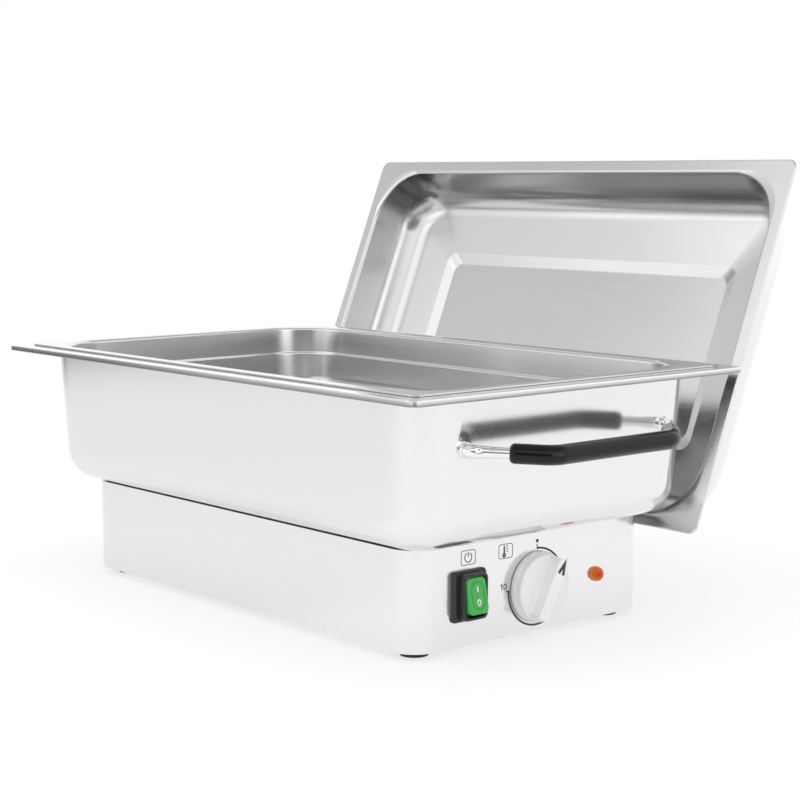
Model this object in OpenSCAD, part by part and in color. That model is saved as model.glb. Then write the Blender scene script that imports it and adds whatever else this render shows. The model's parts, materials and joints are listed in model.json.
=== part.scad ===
// Electric chafing dish: a heated base, a water pan, a lift-out food pan and a lift-off lid.
// The lid stands open behind the dish, leaning back in two brackets on the base.
// Millimetres. +X points to the control end, +Y to the back, +Z up.
// The origin lies on the table, under the centre of the base.

/* [Food pan] */
// Length of the food pan's flange, the full gastronorm size
food_l = 530; // [500:1:560]
// Width of the food pan's flange
food_w = 325; // [300:1:350]
// Depth of the food pan
food_depth = 65; // [40:1:80]
// Width of the flat flange round the food pan and the lid
flange = 11.5; // [10:0.5:14]

/* [Water pan] */
// How far the rolled rim stands out beyond the food pan's flange
rim_outset = 15; // [14:0.5:20]
// Height of the rim above the table
rim_top = 206; // [190:1:230]
// Width of the rim outside the wall
rim_flat = 22; // [18:0.5:23]
// Corner radius of the wall
pan_corner = 45; // [42:1:60]
// Lean of the walls, in degrees
pan_draft = 3.5; // [2:0.5:5]
// Bend radius between the walls and the bottom
pan_bend = 28; // [20:1:32]
// Thickness of the pressed sheet
sheet = 0.8; // [0.6:0.1:1.2]

/* [Base] */
// Length of the base
base_l = 441; // [430:1:448]
// Width of the base
base_w = 255; // [246:1:260]
// Corner radius of the base
base_corner = 22; // [20:1:28]
// Height of the feet
foot_h = 6; // [5:0.5:10]
// Height of the top of the base above the table
base_top = 84.5; // [76:0.5:85]
// Thickness of the base's sheet
base_sheet = 1; // [0.8:0.1:1.2]

/* [Lid] */
// How far the open lid leans back from upright, in degrees
lid_tilt = 22; // [20:0.1:24]
// Place of the open lid's lower edge, towards the back
lid_edge_y = 137; // [136:0.5:142]
// Height of the open lid's lower edge
lid_edge_z = 71; // [68:0.1:73]
// Depth of the lid's wall and bend
lid_shoulder = 51.7; // [48:0.1:56]
// Bend radius between the lid's wall and its top
lid_bend = 28; // [22:1:30]
// Lean of the lid's wall, in degrees
lid_draft = 10; // [8:0.5:11]

/* [Handles] */
// Distance between the two lugs of a handle
handle_span = 214; // [196:1:216]
// How far the middle of a grip stands off the wall
handle_reach = 48; // [44:1:54]
// Height of the side handles above the table
handle_z = 163; // [150:1:172]
// Radius of a grip
grip_r = 7.5; // [7:0.1:9]
// Radius of the rod inside a grip
rod_r = 3.2; // [3:0.1:3.6]

/* [Controls] */
// Place of the knob across the control panel
knob_y = 2; // [-6:0.5:10]
// Height of the knob's axis
knob_z = 41; // [38:0.5:44]
// Radius of the knob's skirt
knob_r = 28.5; // [27:0.5:29.5]
// How far the knob stands turned past its off mark, in degrees
knob_turn = 28; // [0:1:40]
// Place of the switch across the control panel
switch_y = -71; // [-78:0.5:-64]
// Height of the switch's middle
switch_z = 45; // [42:0.5:48]
// Tilt of the switched-on rocker, in degrees
rocker_tilt = 11; // [6:0.5:11.5]
// Place of the lamp across the control panel
lamp_y = 69; // [60:0.5:80]
// Height of the lamp's middle
lamp_z = 41.5; // [35:0.5:48]
// Radius of the lamp's lens
lamp_r = 6.5; // [6.4:0.1:7.4]

/* [Hidden] */
$fn = 64;

// Finishes
steel = "#d9dadb";
chrome = "#e8e9ea";
black = "#1c1c1d";
white = "#efefee";
zinc = "#b9bdc0";
brass = "#c9a453";
copper = "#b87b4a";
sheathing = "#5d5f62";
wool = "#cfc7b4";
grey_case = "#8f9396";
dark_case = "#2c2c2e";
green = "#2fa84a";
amber = "#f08322";

// Steps in a bend of a pressed sheet
bend_steps = 10;
// Small overlap that ties two solids of one piece together
tie = 0.3;
// How much thinner a bent tube is than its straight runs
bend_thin = 0.05;
// Gap between a pan and the sheet it rests on
rest_gap = 0.3;
// Gap round a screw or stud in its hole
screw_gap = 0.15;
// Gap round a stud or screw in the thread of its nut
thread_gap = 0.075;
// How far a cutting solid runs past the face that it cuts
past = 1;
// Taper of a pan-head screw's head, and the width of its cross slot, as shares of its radius
head_taper = 0.8;
slot_share = 0.25;
// Thickness of the flat tabs on the electrical parts
tab_t = 0.8;

// Water pan
rim_l = food_l + 2 * rim_outset;
rim_w = food_w + 2 * rim_outset;
rim_corner = 8;
rim_bead = 2.35;
pan_l = rim_l - 2 * rim_flat;
pan_w = rim_w - 2 * rim_flat;
seal_h = 1;
pan_bottom = base_top + seal_h;
pan_depth = rim_top - pan_bottom;
pan_bend_y = pan_bend - pan_depth;
pan_bend_x = (pan_bend_y - pan_bend * sin(pan_draft)) * tan(pan_draft) - pan_bend * cos(pan_draft);

// Food pan, measured down from the top of its flange
flange_corner = 8;
flange_bead = 0.6;
food_wall_l = food_l - 2 * flange;
food_wall_w = food_w - 2 * flange;
food_corner = 50;
food_draft = 3.5;
food_bend = 18;
shoulder_y = 24;
shoulder_h = 2;
shoulder_in = 1.2;
food_z = rim_top + rest_gap;

// Lid, measured up from the face that closes on the food pan
lid_bead = 1.3;
lid_corner = 51;
band_slope = 8;
lid_bend_y = lid_shoulder - lid_bend * sin(90 - band_slope);
lid_bend_x = -(lid_bend_y + lid_bend * sin(lid_draft)) * tan(lid_draft) - lid_bend * cos(lid_draft);
band_in = -lid_bend_x - lid_bend * cos(90 - band_slope);
deck_in = 49;
crown_in = 52;
crown_sink = 0.2;
panel_in = 66;
bevel_in = 10;
bevel_h = 3.6;
deck_z = lid_shoulder + (deck_in - band_in) * tan(band_slope);
panel_edge_z = deck_z + (panel_in - crown_in) * tan(band_slope);
lid_top = panel_edge_z + bevel_h;

// Handles
lug_r = 7;
lug_h = 3;
boss_r = 5.8;
arm_in = 26;
arm_out = 25;
arm_angle = atan2(arm_in, arm_out);
handle_bend = 20;
arm_x = 6;
arm_len = (handle_reach - arm_x) / cos(arm_angle);
corner_y = handle_span / 2 - arm_len * sin(arm_angle);
handle_turn = 90 - arm_angle;
bend_cut = handle_bend * tan(handle_turn / 2);
sleeve_start = 28;
sleeve_gap = 0.05;
rivet_r = 2;
rivet_head_r = 4;
rivet_head_h = 1.5;
rivet_in = 2.5;
side_wall_x = pan_l / 2 - (rim_top - handle_z) * tan(pan_draft);

// Base
panel_x = base_l / 2;
panel_back = panel_x - base_sheet;
top_flange = 19;
low_flange = 15;
plate_gap = 1.2;
plate_t = 1;
plate_lift = 0.2;
plate_z = foot_h + plate_lift;
low_flange_z = plate_z + plate_t;
low_flange_t = 1;
floor_z = plate_z + plate_t;
seal_in = 4;
seal_w = 5;
stud_in = 14.5;
stud_r = 2.5;
stud_len = 18;
washer_r = 5;
washer_t = 1;
nut_af = 8;
nut_h = 4;
ceiling = base_top - base_sheet;
stud_places = [[1, 0.5], [1, -0.5], [-1, 0.5], [-1, -0.5]];
side_stud_x = 100;
plate_screw_r = 2;
plate_screw_len = 8;
screw_head_r = 3.6;
screw_head_h = 1.8;
screw_in = 9;
screw_places = [[0.45, 1], [-0.45, 1], [0.45, -1], [-0.45, -1]];
foot_in = 24;
foot_x = base_l / 2 - foot_in;
foot_y = base_w / 2 - foot_in;
foot_r = 12;
foot_low_r = 11;
foot_bore_r = 2.6;
foot_recess_r = 6;
foot_recess_h = 3.4;
foot_screw_r = 2.45;
foot_screw_len = 10;
foot_head_r = 5;
foot_head_h = 2.4;
vent_l = 36;
vent_w = 4;
vent_pitch = 10;
vent_count = 8;

// Heater under the water pan
spreader_l = 330;
spreader_w = 176;
spreader_h = 4;
spreader_corner = 16;
element_r = 4;
element_run = 250;
element_pitch = 40;
element_z = pan_bottom - spreader_h - element_r;
cold_end = 22;
pin_r = 1.5;
pin_len = 14;
clamp_x = 80;
clamp_l = 176;
clamp_w = 18;
clamp_corner = 8;
clamp_t = 2;
clamp_z = element_z - element_r - clamp_t;
heater_stud_y = 76;
heater_stud_len = 44;
mat_l = 320;
mat_w = 168;
mat_h = 18;
mat_gap = 1;
mat_z = clamp_z - nut_h - washer_t - mat_h - mat_gap;
shield_t = 0.8;
shield_lip = 20;
shield_z = mat_z - shield_t;
shield_l = mat_l + 2 * mat_gap;
shield_w = mat_w + 2 * mat_gap;
shield_corner = spreader_corner + mat_gap;
cutout_x = -180;

// Controls
knob_gap = 1.5;
knob_h = 9;
knob_front_r = 26.5;
knob_round = 1.5;
knob_wall = 2.5;
hub_r = 7;
bar_w = 11;
bar_h = 10;
bar_round = 2;
shaft_r = 3;
shaft_run = 0.05;
shaft_back = 12;
shaft_front = 15;
bushing_r = 5;
bushing_out = 1;
thermo_l = 34;
thermo_w = 42;
thermo_h = 26;
thermo_plate = 3;
thermo_plate_w = 34;
thermo_plate_h = 36;
thermo_screw_z = 14;
thermo_screw_r = 1.9;
thermo_screw_len = 4.5;
thermo_head_r = 3;
thermo_head_h = 1.4;
bulb_r = 3;
bulb_l = 90;
bulb_x = 184;
bulb_gap = 0.1;
bulb_z = pan_bottom - bulb_r - bulb_gap;
clip_gap = 0.05;
capillary_r = 0.8;
capillary_lead = 15;
capillary_lean = 4;
capillary_reach = 8;
capillary_up = 10;
bezel_w = 33.5;
bezel_h = 39;
bezel_t = 4;
bezel_bevel = 2;
bezel_corner = 2;
bezel_step = 1;
collar_w = 25;
collar_h = 35.5;
collar_t = 6;
collar_corner = 5;
well_w = 20.8;
well_h = 31.4;
well_corner = 3;
rocker_w = 20;
rocker_h = 28.4;
rocker_front = 12;
rocker_corner = 4;
rocker_end_r = 15.7;
well_floor = 1;
pivot_x = 4;
pivot_r = 1.5;
pivot_run = 0.05;
pivot_len = 1.4;
pivot_end = 0.5;
body_w = 22;
body_h = 30;
body_d = 24;
switch_tab_w = 6.3;
switch_tab_l = 10;
lamp_bore_r = 5;
lamp_flange = 1.5;
lamp_dome = 4.6;
lamp_dome_r = 6.1;
lamp_body_d = 26;
lamp_tab_y = 2.5;
lamp_tab_w = 2.8;
lamp_tab_l = 7;
lamp_nut_af = 14;
lamp_nut_h = 3;

// Mains inlet and wiring points at the other end
gland_y = -60;
gland_z = 34;
gland_r = 8;
gland_bore = 4;
gland_hex_af = 22;
gland_hex_h = 5;
gland_cap_r = 10;
gland_mouth_r = 6;
gland_cap_h = 14;
gland_thread = 12;
gland_nut_h = 5;
block_x = -130;
block_y = -20;
block_l = 24;
block_w = 42;
block_h = 18;
block_poles = 3;
block_pitch = 12;
block_wire_r = 2.5;
block_screw_r = 2;
block_screw_len = 5;
block_screw_up = 3;
earth_x = -150;
earth_y = 50;
earth_len = 20;
earth_head_r = 5;
earth_head_h = 1.5;
earth_ring_gap = 2;

// Lid brackets on the back of the base
bracket_x = 120;
bracket_w = 50;
bracket_t = 2;
bracket_low = 44;
trough_gap = 0.5;
trough_h = 9;
bracket_screw_z = 54;
bracket_screw_dx = 15;

// Points along an arc
function arc(cx, cy, r, a0, a1) =
    [for (i = [0 : bend_steps])
        let (a = a0 + (a1 - a0) * i / bend_steps)
        [cx + r * cos(a), cy + r * sin(a)]];

// Flat rectangle with round corners
module rounded_rect(length, width, radius) {
    square([length - 2 * radius, width], center = true);
    square([length, width - 2 * radius], center = true);
    for (sx = [-1, 1], sy = [-1, 1])
        translate([sx * (length / 2 - radius), sy * (width / 2 - radius)])
            circle(radius);
}

// Carries a section round a rectangle with round corners; x = 0 is the rectangle's edge
module swept(length, width, radius) {
    for (i = [0 : 3]) {
        sx = (i == 0 || i == 3) ? 1 : -1;
        sy = i < 2 ? 1 : -1;
        translate([sx * (length / 2 - radius), sy * (width / 2 - radius), 0])
            rotate([0, 0, 90 * i])
                rotate_extrude(angle = 90)
                    translate([radius, 0])
                        children();
    }
    for (turn = [0, 180])
        rotate([0, 0, turn]) {
            translate([length / 2, 0, 0])
                rotate([90, 0, 0])
                    linear_extrude(width - 2 * radius, center = true)
                        children();
            translate([0, width / 2, 0])
                rotate([90, 0, 90])
                    linear_extrude(length - 2 * radius, center = true)
                        children();
        }
}

// Rolled edge of a flange, its top at z = 0
module bead(length, width, radius, r) {
    swept(length, width, radius)
        translate([-r, -r])
            circle(r);
}

// Flat flange with a large-cornered opening, its top at z = 0
module flange_plate(length, width, radius, open_l, open_w, open_r, t) {
    translate([0, 0, -t])
        linear_extrude(t)
            difference() {
                rounded_rect(length, width, radius);
                rounded_rect(open_l, open_w, open_r);
            }
}

// Hexagon nut with its flat underside at z = 0
module hex_nut(af, h, bore) {
    difference() {
        cylinder(h = h, d = af / cos(30), $fn = 6);
        translate([0, 0, -past])
            cylinder(h = h + 2 * past, r = bore);
    }
}

// Washer and nut hanging under z = 0
module washer_and_nut(af, h, bore) {
    translate([0, 0, -washer_t])
        difference() {
            cylinder(h = washer_t, r = washer_r);
            translate([0, 0, -past])
                cylinder(h = washer_t + 2 * past, r = bore);
        }
    translate([0, 0, -washer_t - h])
        hex_nut(af, h, bore);
}

// Moves what is drawn on the closed lid's frame to the open lid
module on_lid() {
    translate([0, lid_edge_y, lid_edge_z])
        rotate([-lid_tilt, 0, 0])
            translate([0, 0, food_w / 2])
                rotate([-90, 0, 0])
                    children();
}

// Moves what is drawn looking out of the control panel to the panel; +Z becomes +X, +Y stays up
module on_panel(y, z) {
    translate([panel_x, y, z])
        rotate([90, 0, 90])
            children();
}

// Water pan

function pan_section() = concat(
    [[0, 0]],
    arc(pan_bend_x, pan_bend_y, pan_bend, -pan_draft, -90),
    arc(pan_bend_x, pan_bend_y, pan_bend - sheet, -90, -pan_draft),
    [[-sheet / cos(pan_draft), 0]]);

module water_pan() {
    color(steel)
        difference() {
            translate([0, 0, rim_top]) {
                swept(pan_l, pan_w, pan_corner)
                    polygon(pan_section());
                translate([0, 0, -pan_depth])
                    linear_extrude(sheet)
                        rounded_rect(pan_l + 2 * pan_bend_x + tie, pan_w + 2 * pan_bend_x + tie,
                            pan_corner + pan_bend_x);
                flange_plate(rim_l - rim_bead, rim_w - rim_bead, rim_corner, pan_l - 2 * sheet,
                    pan_w - 2 * sheet, pan_corner - sheet, sheet);
                bead(rim_l, rim_w, rim_corner, rim_bead);
            }
            for (turn = [0, 180], sy = [-1, 1])
                rotate([0, 0, turn])
                    side_wall()
                        on_lug(sy)
                            cylinder(h = 4 * sheet, r = rivet_r, center = true);
        }
}

// Food pan

function food_section() =
    let (
        x1 = -shoulder_y * tan(food_draft),
        x2 = x1 - shoulder_in,
        y2 = -shoulder_y - shoulder_h,
        cy = food_bend - food_depth,
        x3 = x2 + (cy - food_bend * sin(food_draft) - y2) * tan(food_draft),
        cx = x3 - food_bend * cos(food_draft))
    concat(
        [[0, 0], [x1, -shoulder_y], [x2, y2]],
        arc(cx, cy, food_bend, -food_draft, -90),
        arc(cx, cy, food_bend - sheet, -90, -food_draft),
        [[x2 - sheet, y2], [x1 - sheet, -shoulder_y], [-sheet, 0]]);

module food_pan() {
    hem = 2 * flange_bead;
    floor_in = food_section()[3 + bend_steps][0];
    color(steel)
        translate([0, 0, food_z + hem]) {
            swept(food_wall_l, food_wall_w, food_corner)
                polygon(food_section());
            translate([0, 0, -food_depth])
                linear_extrude(sheet)
                    rounded_rect(food_wall_l + 2 * floor_in + tie, food_wall_w + 2 * floor_in + tie,
                        food_corner + floor_in);
            flange_plate(food_l - flange_bead, food_w - flange_bead, flange_corner,
                food_wall_l - 2 * sheet, food_wall_w - 2 * sheet, food_corner - sheet, sheet);
            bead(food_l, food_w, flange_corner, flange_bead);
        }
}

// Lid

// Wall, bend and sloping band, as far in as the corners allow
function lid_section() = concat(
    [[0, 0]],
    arc(lid_bend_x, lid_bend_y, lid_bend, lid_draft, 90 - band_slope),
    [[-deck_in, deck_z], [-deck_in, deck_z - sheet / cos(band_slope)]],
    arc(lid_bend_x, lid_bend_y, lid_bend - sheet, 90 - band_slope, lid_draft),
    [[-sheet / cos(lid_draft), 0]]);

// Block that narrows upwards from one inset to another
module frustum(in0, in1, h) {
    l0 = food_wall_l - 2 * in0;
    w0 = food_wall_w - 2 * in0;
    l1 = food_wall_l - 2 * in1;
    w1 = food_wall_w - 2 * in1;
    linear_extrude(h, scale = [l1 / l0, w1 / w0], slices = 1)
        square([l0, w0], center = true);
}

// Block of the crown's shape: the rest of the sloping band, and the bevel of the raised panel
module crown(drop) {
    translate([0, 0, deck_z - crown_sink - drop])
        frustum(crown_in - crown_sink / tan(band_slope), panel_in, panel_edge_z - deck_z + crown_sink);
    translate([0, 0, panel_edge_z - drop])
        frustum(panel_in, panel_in + bevel_in, bevel_h);
}

module lid_shell() {
    deck_edge = deck_in - tie;
    color(steel)
        on_lid()
            difference() {
                union() {
                    swept(food_wall_l, food_wall_w, lid_corner)
                        polygon(lid_section());
                    crown(0);
                    translate([0, 0, deck_z - sheet])
                        linear_extrude(sheet)
                            rounded_rect(food_wall_l - 2 * deck_edge, food_wall_w - 2 * deck_edge,
                                lid_corner - deck_edge);
                    translate([0, 0, sheet])
                        flange_plate(food_l - lid_bead, food_w - lid_bead, flange_corner,
                            food_wall_l - 2 * sheet, food_wall_w - 2 * sheet, lid_corner - sheet, sheet);
                    translate([0, 0, 2 * lid_bead])
                        bead(food_l, food_w, flange_corner, lid_bead);
                }
                crown(sheet);
            }
}

// Handles, drawn with the wall at x = 0 and the grip standing out along +X

// Bent rod from one lug to the other, from a distance along the arms
module handle_path(r, from) {
    for (sy = [-1, 1]) {
        on_arm(sy)
            translate([0, 0, from])
                cylinder(h = arm_len - bend_cut - from + tie, r = r);
        translate([handle_reach - handle_bend, sy * (corner_y - bend_cut), 0])
            rotate([0, 0, sy < 0 ? -handle_turn : 0])
                rotate_extrude(angle = handle_turn)
                    translate([handle_bend, 0])
                        circle(r - bend_thin);
    }
    translate([handle_reach, 0, 0])
        rotate([90, 0, 0])
            cylinder(h = 2 * (corner_y - bend_cut + tie), r = r, center = true);
}

// Frame at the foot of an arm, +Z along the arm
module on_arm(sy) {
    translate([arm_x, sy * handle_span / 2, 0])
        rotate([0, 0, -sy * arm_angle])
            rotate([0, 90, 0])
                children();
}

module handle_rod() {
    color(chrome)
        handle_path(rod_r, 0);
}

module handle_grip() {
    color(black)
        difference() {
            handle_path(grip_r, sleeve_start);
            handle_path(rod_r + sleeve_gap, 0);
        }
}

// Cast lug with a foot on the wall, a round elbow and a socket round the end of the rod
module handle_lugs() {
    color(chrome)
        for (sy = [-1, 1])
            difference() {
                union() {
                    on_lug(sy) {
                        cylinder(h = lug_h, r = lug_r);
                        cylinder(h = arm_x, r1 = boss_r + 1, r2 = boss_r);
                    }
                    on_arm(sy) {
                        sphere(boss_r + tie);
                        cylinder(h = sleeve_start - 1, r1 = boss_r, r2 = rod_r + 1);
                    }
                }
                on_arm(sy)
                    translate([0, 0, -sleeve_gap])
                        cylinder(h = arm_len, r = rod_r + sleeve_gap);
                on_lug(sy)
                    cylinder(h = 2 * rivet_in, r = rivet_r, center = true);
            }
}

// Frame on the wall at the middle of a lug, +Z out of the wall
module on_lug(sy) {
    translate([0, sy * handle_span / 2, 0])
        rotate([0, 90, 0])
            children();
}

// Rivets through the wall into the lugs, with their heads on the far side of the sheet
module lug_rivets() {
    color(zinc)
        for (sy = [-1, 1])
            on_lug(sy) {
                translate([0, 0, -sheet])
                    cylinder(h = sheet + rivet_in, r = rivet_r);
                translate([0, 0, -sheet - rivet_head_h])
                    cylinder(h = rivet_head_h, r = rivet_head_r);
            }
}

// Frame of the side handle on the control end's wall
module side_wall() {
    translate([side_wall_x, 0, handle_z])
        rotate([0, pan_draft, 0])
            children();
}

// Frame of the handle on top of the lid
module lid_top_frame() {
    on_lid()
        translate([0, 0, lid_top])
            rotate([0, 0, 90])
                rotate([0, -90, 0])
                    children();
}

module lid_handle_grip() {
    lid_top_frame()
        handle_grip();
}

module lid_handle_rod() {
    lid_top_frame()
        handle_rod();
}

module lid_handle_lugs() {
    lid_top_frame()
        handle_lugs();
}

// Studs welded to the lid, inside the lugs, so that nothing shows on the lid's inner face
module lid_handle_studs() {
    color(zinc)
        lid_top_frame()
            for (sy = [-1, 1])
                on_lug(sy)
                    cylinder(h = rivet_in, r = rivet_r);
}

module right_handle_grip() {
    side_wall()
        handle_grip();
}

module right_handle_rod() {
    side_wall()
        handle_rod();
}

module right_handle_lugs() {
    side_wall()
        handle_lugs();
}

module left_handle_grip() {
    rotate([0, 0, 180])
        right_handle_grip();
}

module left_handle_rod() {
    rotate([0, 0, 180])
        right_handle_rod();
}

module left_handle_lugs() {
    rotate([0, 0, 180])
        right_handle_lugs();
}

module handle_rivets() {
    for (turn = [0, 180])
        rotate([0, 0, turn])
            side_wall()
                lug_rivets();
}

// Base

function housing_section() = [
    [0, foot_h],
    [0, base_top],
    [-top_flange, base_top],
    [-top_flange, ceiling],
    [-base_sheet, ceiling],
    [-base_sheet, low_flange_z + low_flange_t],
    [-low_flange, low_flange_z + low_flange_t],
    [-low_flange, low_flange_z],
    [-base_sheet, low_flange_z],
    [-base_sheet, foot_h]];

// Places of the studs that hold the water pan to the base
module stud_spots() {
    for (p = stud_places)
        translate([p[0] * (base_l / 2 - stud_in), p[1] * base_w / 2, 0])
            children();
    for (sx = [-1, 1], sy = [-1, 1])
        translate([sx * side_stud_x, sy * (base_w / 2 - stud_in), 0])
            children();
}

// Places of the screws that hold the bottom plate
module plate_screw_spots() {
    for (p = screw_places)
        translate([p[0] * base_l / 2, p[1] * (base_w / 2 - screw_in), 0])
            children();
    for (sx = [-1, 1])
        translate([sx * (base_l / 2 - screw_in), 0, 0])
            children();
}

module foot_spots() {
    for (sx = [-1, 1], sy = [-1, 1])
        translate([sx * foot_x, sy * foot_y, 0])
            children();
}

module bracket_screw_spots() {
    for (sx = [-1, 1], dx = [-1, 1])
        translate([sx * bracket_x + dx * bracket_screw_dx, base_w / 2, bracket_screw_z])
            rotate([-90, 0, 0])
                children();
}

module base_housing() {
    color(steel)
        difference() {
            swept(base_l, base_w, base_corner)
                polygon(housing_section());
            stud_spots()
                translate([0, 0, ceiling - past])
                    cylinder(h = base_sheet + 2 * past, r = stud_r + screw_gap);
            plate_screw_spots()
                translate([0, 0, low_flange_z - past])
                    cylinder(h = low_flange_t + 2 * past, r = plate_screw_r + screw_gap);
            bracket_screw_spots()
                cylinder(h = 4 * base_sheet, r = plate_screw_r + screw_gap, center = true);
            on_panel(knob_y, knob_z) {
                cylinder(h = 4 * base_sheet, r = bushing_r + screw_gap, center = true);
                for (sz = [-1, 1])
                    translate([0, sz * thermo_screw_z, 0])
                        cylinder(h = 4 * base_sheet, r = thermo_screw_r + screw_gap, center = true);
            }
            on_panel(switch_y, switch_z)
                cube([body_w + 2 * screw_gap, body_h + 2 * screw_gap, 4 * base_sheet], center = true);
            on_panel(lamp_y, lamp_z)
                cylinder(h = 4 * base_sheet, r = lamp_bore_r, center = true);
            translate([-base_l / 2, gland_y, gland_z])
                rotate([0, 90, 0])
                    cylinder(h = 4 * base_sheet, r = gland_r + screw_gap, center = true);
        }
}

module base_seal() {
    color(black)
        translate([0, 0, base_top])
            swept(base_l - 2 * seal_in, base_w - 2 * seal_in, base_corner - seal_in)
                translate([-seal_w, 0])
                    square([seal_w, seal_h]);
}

module bottom_plate() {
    color(zinc)
        difference() {
            translate([0, 0, plate_z])
                linear_extrude(plate_t)
                    rounded_rect(base_l - 2 * plate_gap, base_w - 2 * plate_gap, base_corner - plate_gap);
            for (sx = [-1, 1], i = [0 : vent_count - 1])
                translate([sx * base_l / 4, (i - (vent_count - 1) / 2) * vent_pitch, plate_z])
                    cube([vent_l, vent_w, 4 * plate_t], center = true);
            plate_screw_spots()
                translate([0, 0, plate_z - past])
                    cylinder(h = plate_t + 2 * past, r = plate_screw_r + screw_gap);
            foot_spots()
                translate([0, 0, plate_z - past])
                    cylinder(h = plate_t + 2 * past, r = foot_bore_r);
        }
}

// Pan-head screw pointing up, the underside of its head at z = 0
module pan_screw(r, length, head_r, head_h) {
    color(zinc)
        difference() {
            union() {
                cylinder(h = length, r = r);
                translate([0, 0, -head_h])
                    cylinder(h = head_h, r1 = head_r * head_taper, r2 = head_r);
            }
            translate([0, 0, -head_h])
                for (turn = [0, 90])
                    rotate([0, 0, turn])
                        cube([head_r, head_r * slot_share, head_h], center = true);
        }
}

module bottom_screws() {
    plate_screw_spots()
        translate([0, 0, plate_z])
            pan_screw(plate_screw_r, plate_screw_len, screw_head_r, screw_head_h);
}

module foot(sx, sy) {
    color(black)
        translate([sx * foot_x, sy * foot_y, 0])
            difference() {
                cylinder(h = plate_z, r1 = foot_low_r, r2 = foot_r);
                translate([0, 0, -past])
                    cylinder(h = plate_z + 2 * past, r = foot_bore_r);
                translate([0, 0, -past])
                    cylinder(h = foot_recess_h + past, r = foot_recess_r);
            }
}

module foot_front_right() {
    foot(1, -1);
}

module foot_front_left() {
    foot(-1, -1);
}

module foot_back_right() {
    foot(1, 1);
}

module foot_back_left() {
    foot(-1, 1);
}

module foot_screws() {
    foot_spots() {
        translate([0, 0, foot_recess_h])
            pan_screw(foot_screw_r, foot_screw_len, foot_head_r, foot_head_h);
        color(zinc)
            translate([0, 0, floor_z])
                hex_nut(nut_af, nut_h, foot_screw_r + thread_gap);
    }
}

module pan_studs() {
    color(zinc)
        stud_spots()
            translate([0, 0, pan_bottom - stud_len])
                cylinder(h = stud_len, r = stud_r);
}

module pan_nuts() {
    color(zinc)
        stud_spots()
            translate([0, 0, ceiling])
                washer_and_nut(nut_af, nut_h, stud_r + thread_gap);
}

// Heater

module heater_stud_spots() {
    for (sx = [-1, 1], sy = [-1, 1])
        translate([sx * clamp_x, sy * heater_stud_y, 0])
            children();
}

module heat_spreader() {
    color(zinc)
        difference() {
            translate([0, 0, pan_bottom - spreader_h])
                linear_extrude(spreader_h)
                    rounded_rect(spreader_l, spreader_w, spreader_corner);
            heater_stud_spots()
                translate([0, 0, pan_bottom - spreader_h - past])
                    cylinder(h = spreader_h + 2 * past, r = stud_r + screw_gap);
        }
}

// Tube in four runs joined by three half turns, with a cold pin at each end
module heating_element() {
    half = element_run / 2;
    outer = 1.5 * element_pitch;
    inner = 0.5 * element_pitch;
    color(sheathing)
        translate([0, 0, element_z]) {
            for (y = [-inner, inner])
                translate([0, y, 0])
                    rotate([0, 90, 0])
                        cylinder(h = element_run + 2 * tie, r = element_r, center = true);
            for (y = [-outer, outer])
                translate([-half - tie, y, 0])
                    rotate([0, 90, 0]) {
                        cylinder(h = element_run + cold_end, r = element_r);
                        cylinder(h = element_run + cold_end + pin_len, r = pin_r);
                    }
            for (sy = [-1, 1])
                translate([-half, sy * element_pitch, 0])
                    rotate([0, 0, 90])
                        rotate_extrude(angle = 180)
                            translate([inner, 0])
                                circle(element_r - bend_thin);
            translate([half, 0, 0])
                rotate([0, 0, -90])
                    rotate_extrude(angle = 180)
                        translate([inner, 0])
                            circle(element_r - bend_thin);
        }
}

module element_clamps() {
    color(zinc)
        difference() {
            for (sx = [-1, 1])
                translate([sx * clamp_x, 0, clamp_z])
                    linear_extrude(clamp_t)
                        rounded_rect(clamp_w, clamp_l, clamp_corner);
            heater_stud_spots()
                translate([0, 0, clamp_z - past])
                    cylinder(h = clamp_t + 2 * past, r = stud_r + screw_gap);
        }
}

module heater_studs() {
    color(zinc)
        heater_stud_spots()
            translate([0, 0, pan_bottom - heater_stud_len])
                cylinder(h = heater_stud_len, r = stud_r);
}

module heater_nuts() {
    color(zinc)
        heater_stud_spots()
            for (z = [clamp_z, shield_z])
                translate([0, 0, z])
                    washer_and_nut(nut_af, nut_h, stud_r + thread_gap);
}

module insulation_mat() {
    color(wool)
        difference() {
            translate([0, 0, mat_z])
                linear_extrude(mat_h)
                    rounded_rect(mat_l, mat_w, spreader_corner);
            heater_stud_spots()
                translate([0, 0, mat_z - past])
                    cylinder(h = mat_h + 2 * past, r = stud_r + mat_gap);
        }
}

// Tray that holds the mat up
module heat_shield() {
    color(zinc)
        difference() {
            translate([0, 0, shield_z])
                linear_extrude(shield_lip)
                    rounded_rect(shield_l, shield_w, shield_corner);
            translate([0, 0, shield_z + shield_t])
                linear_extrude(shield_lip)
                    rounded_rect(shield_l - 2 * shield_t, shield_w - 2 * shield_t,
                        shield_corner - shield_t);
            heater_stud_spots()
                translate([0, 0, shield_z - past])
                    cylinder(h = shield_t + 2 * past, r = stud_r + screw_gap);
        }
}

// Disc thermostat that cuts the heater off if the pan runs dry
module thermal_cutout() {
    cup_r = 8;
    cup_h = 9;
    ear_l = 32;
    ear_w = 9;
    ear_t = 1;
    ear_corner = 4;
    tab_w = 6;
    tab_l = 7;
    color(dark_case)
        translate([cutout_x, 0, pan_bottom]) {
            translate([0, 0, -cup_h])
                cylinder(h = cup_h, r = cup_r);
            translate([0, 0, -ear_t])
                linear_extrude(ear_t)
                    rounded_rect(ear_w, ear_l, ear_corner);
            for (sy = [-1, 1])
                translate([-tab_w / 2, sy * cup_r / 2 - tab_t / 2, -cup_h - tab_l])
                    cube([tab_w, tab_t, tab_l + tie]);
        }
}

// Thermostat

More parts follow.
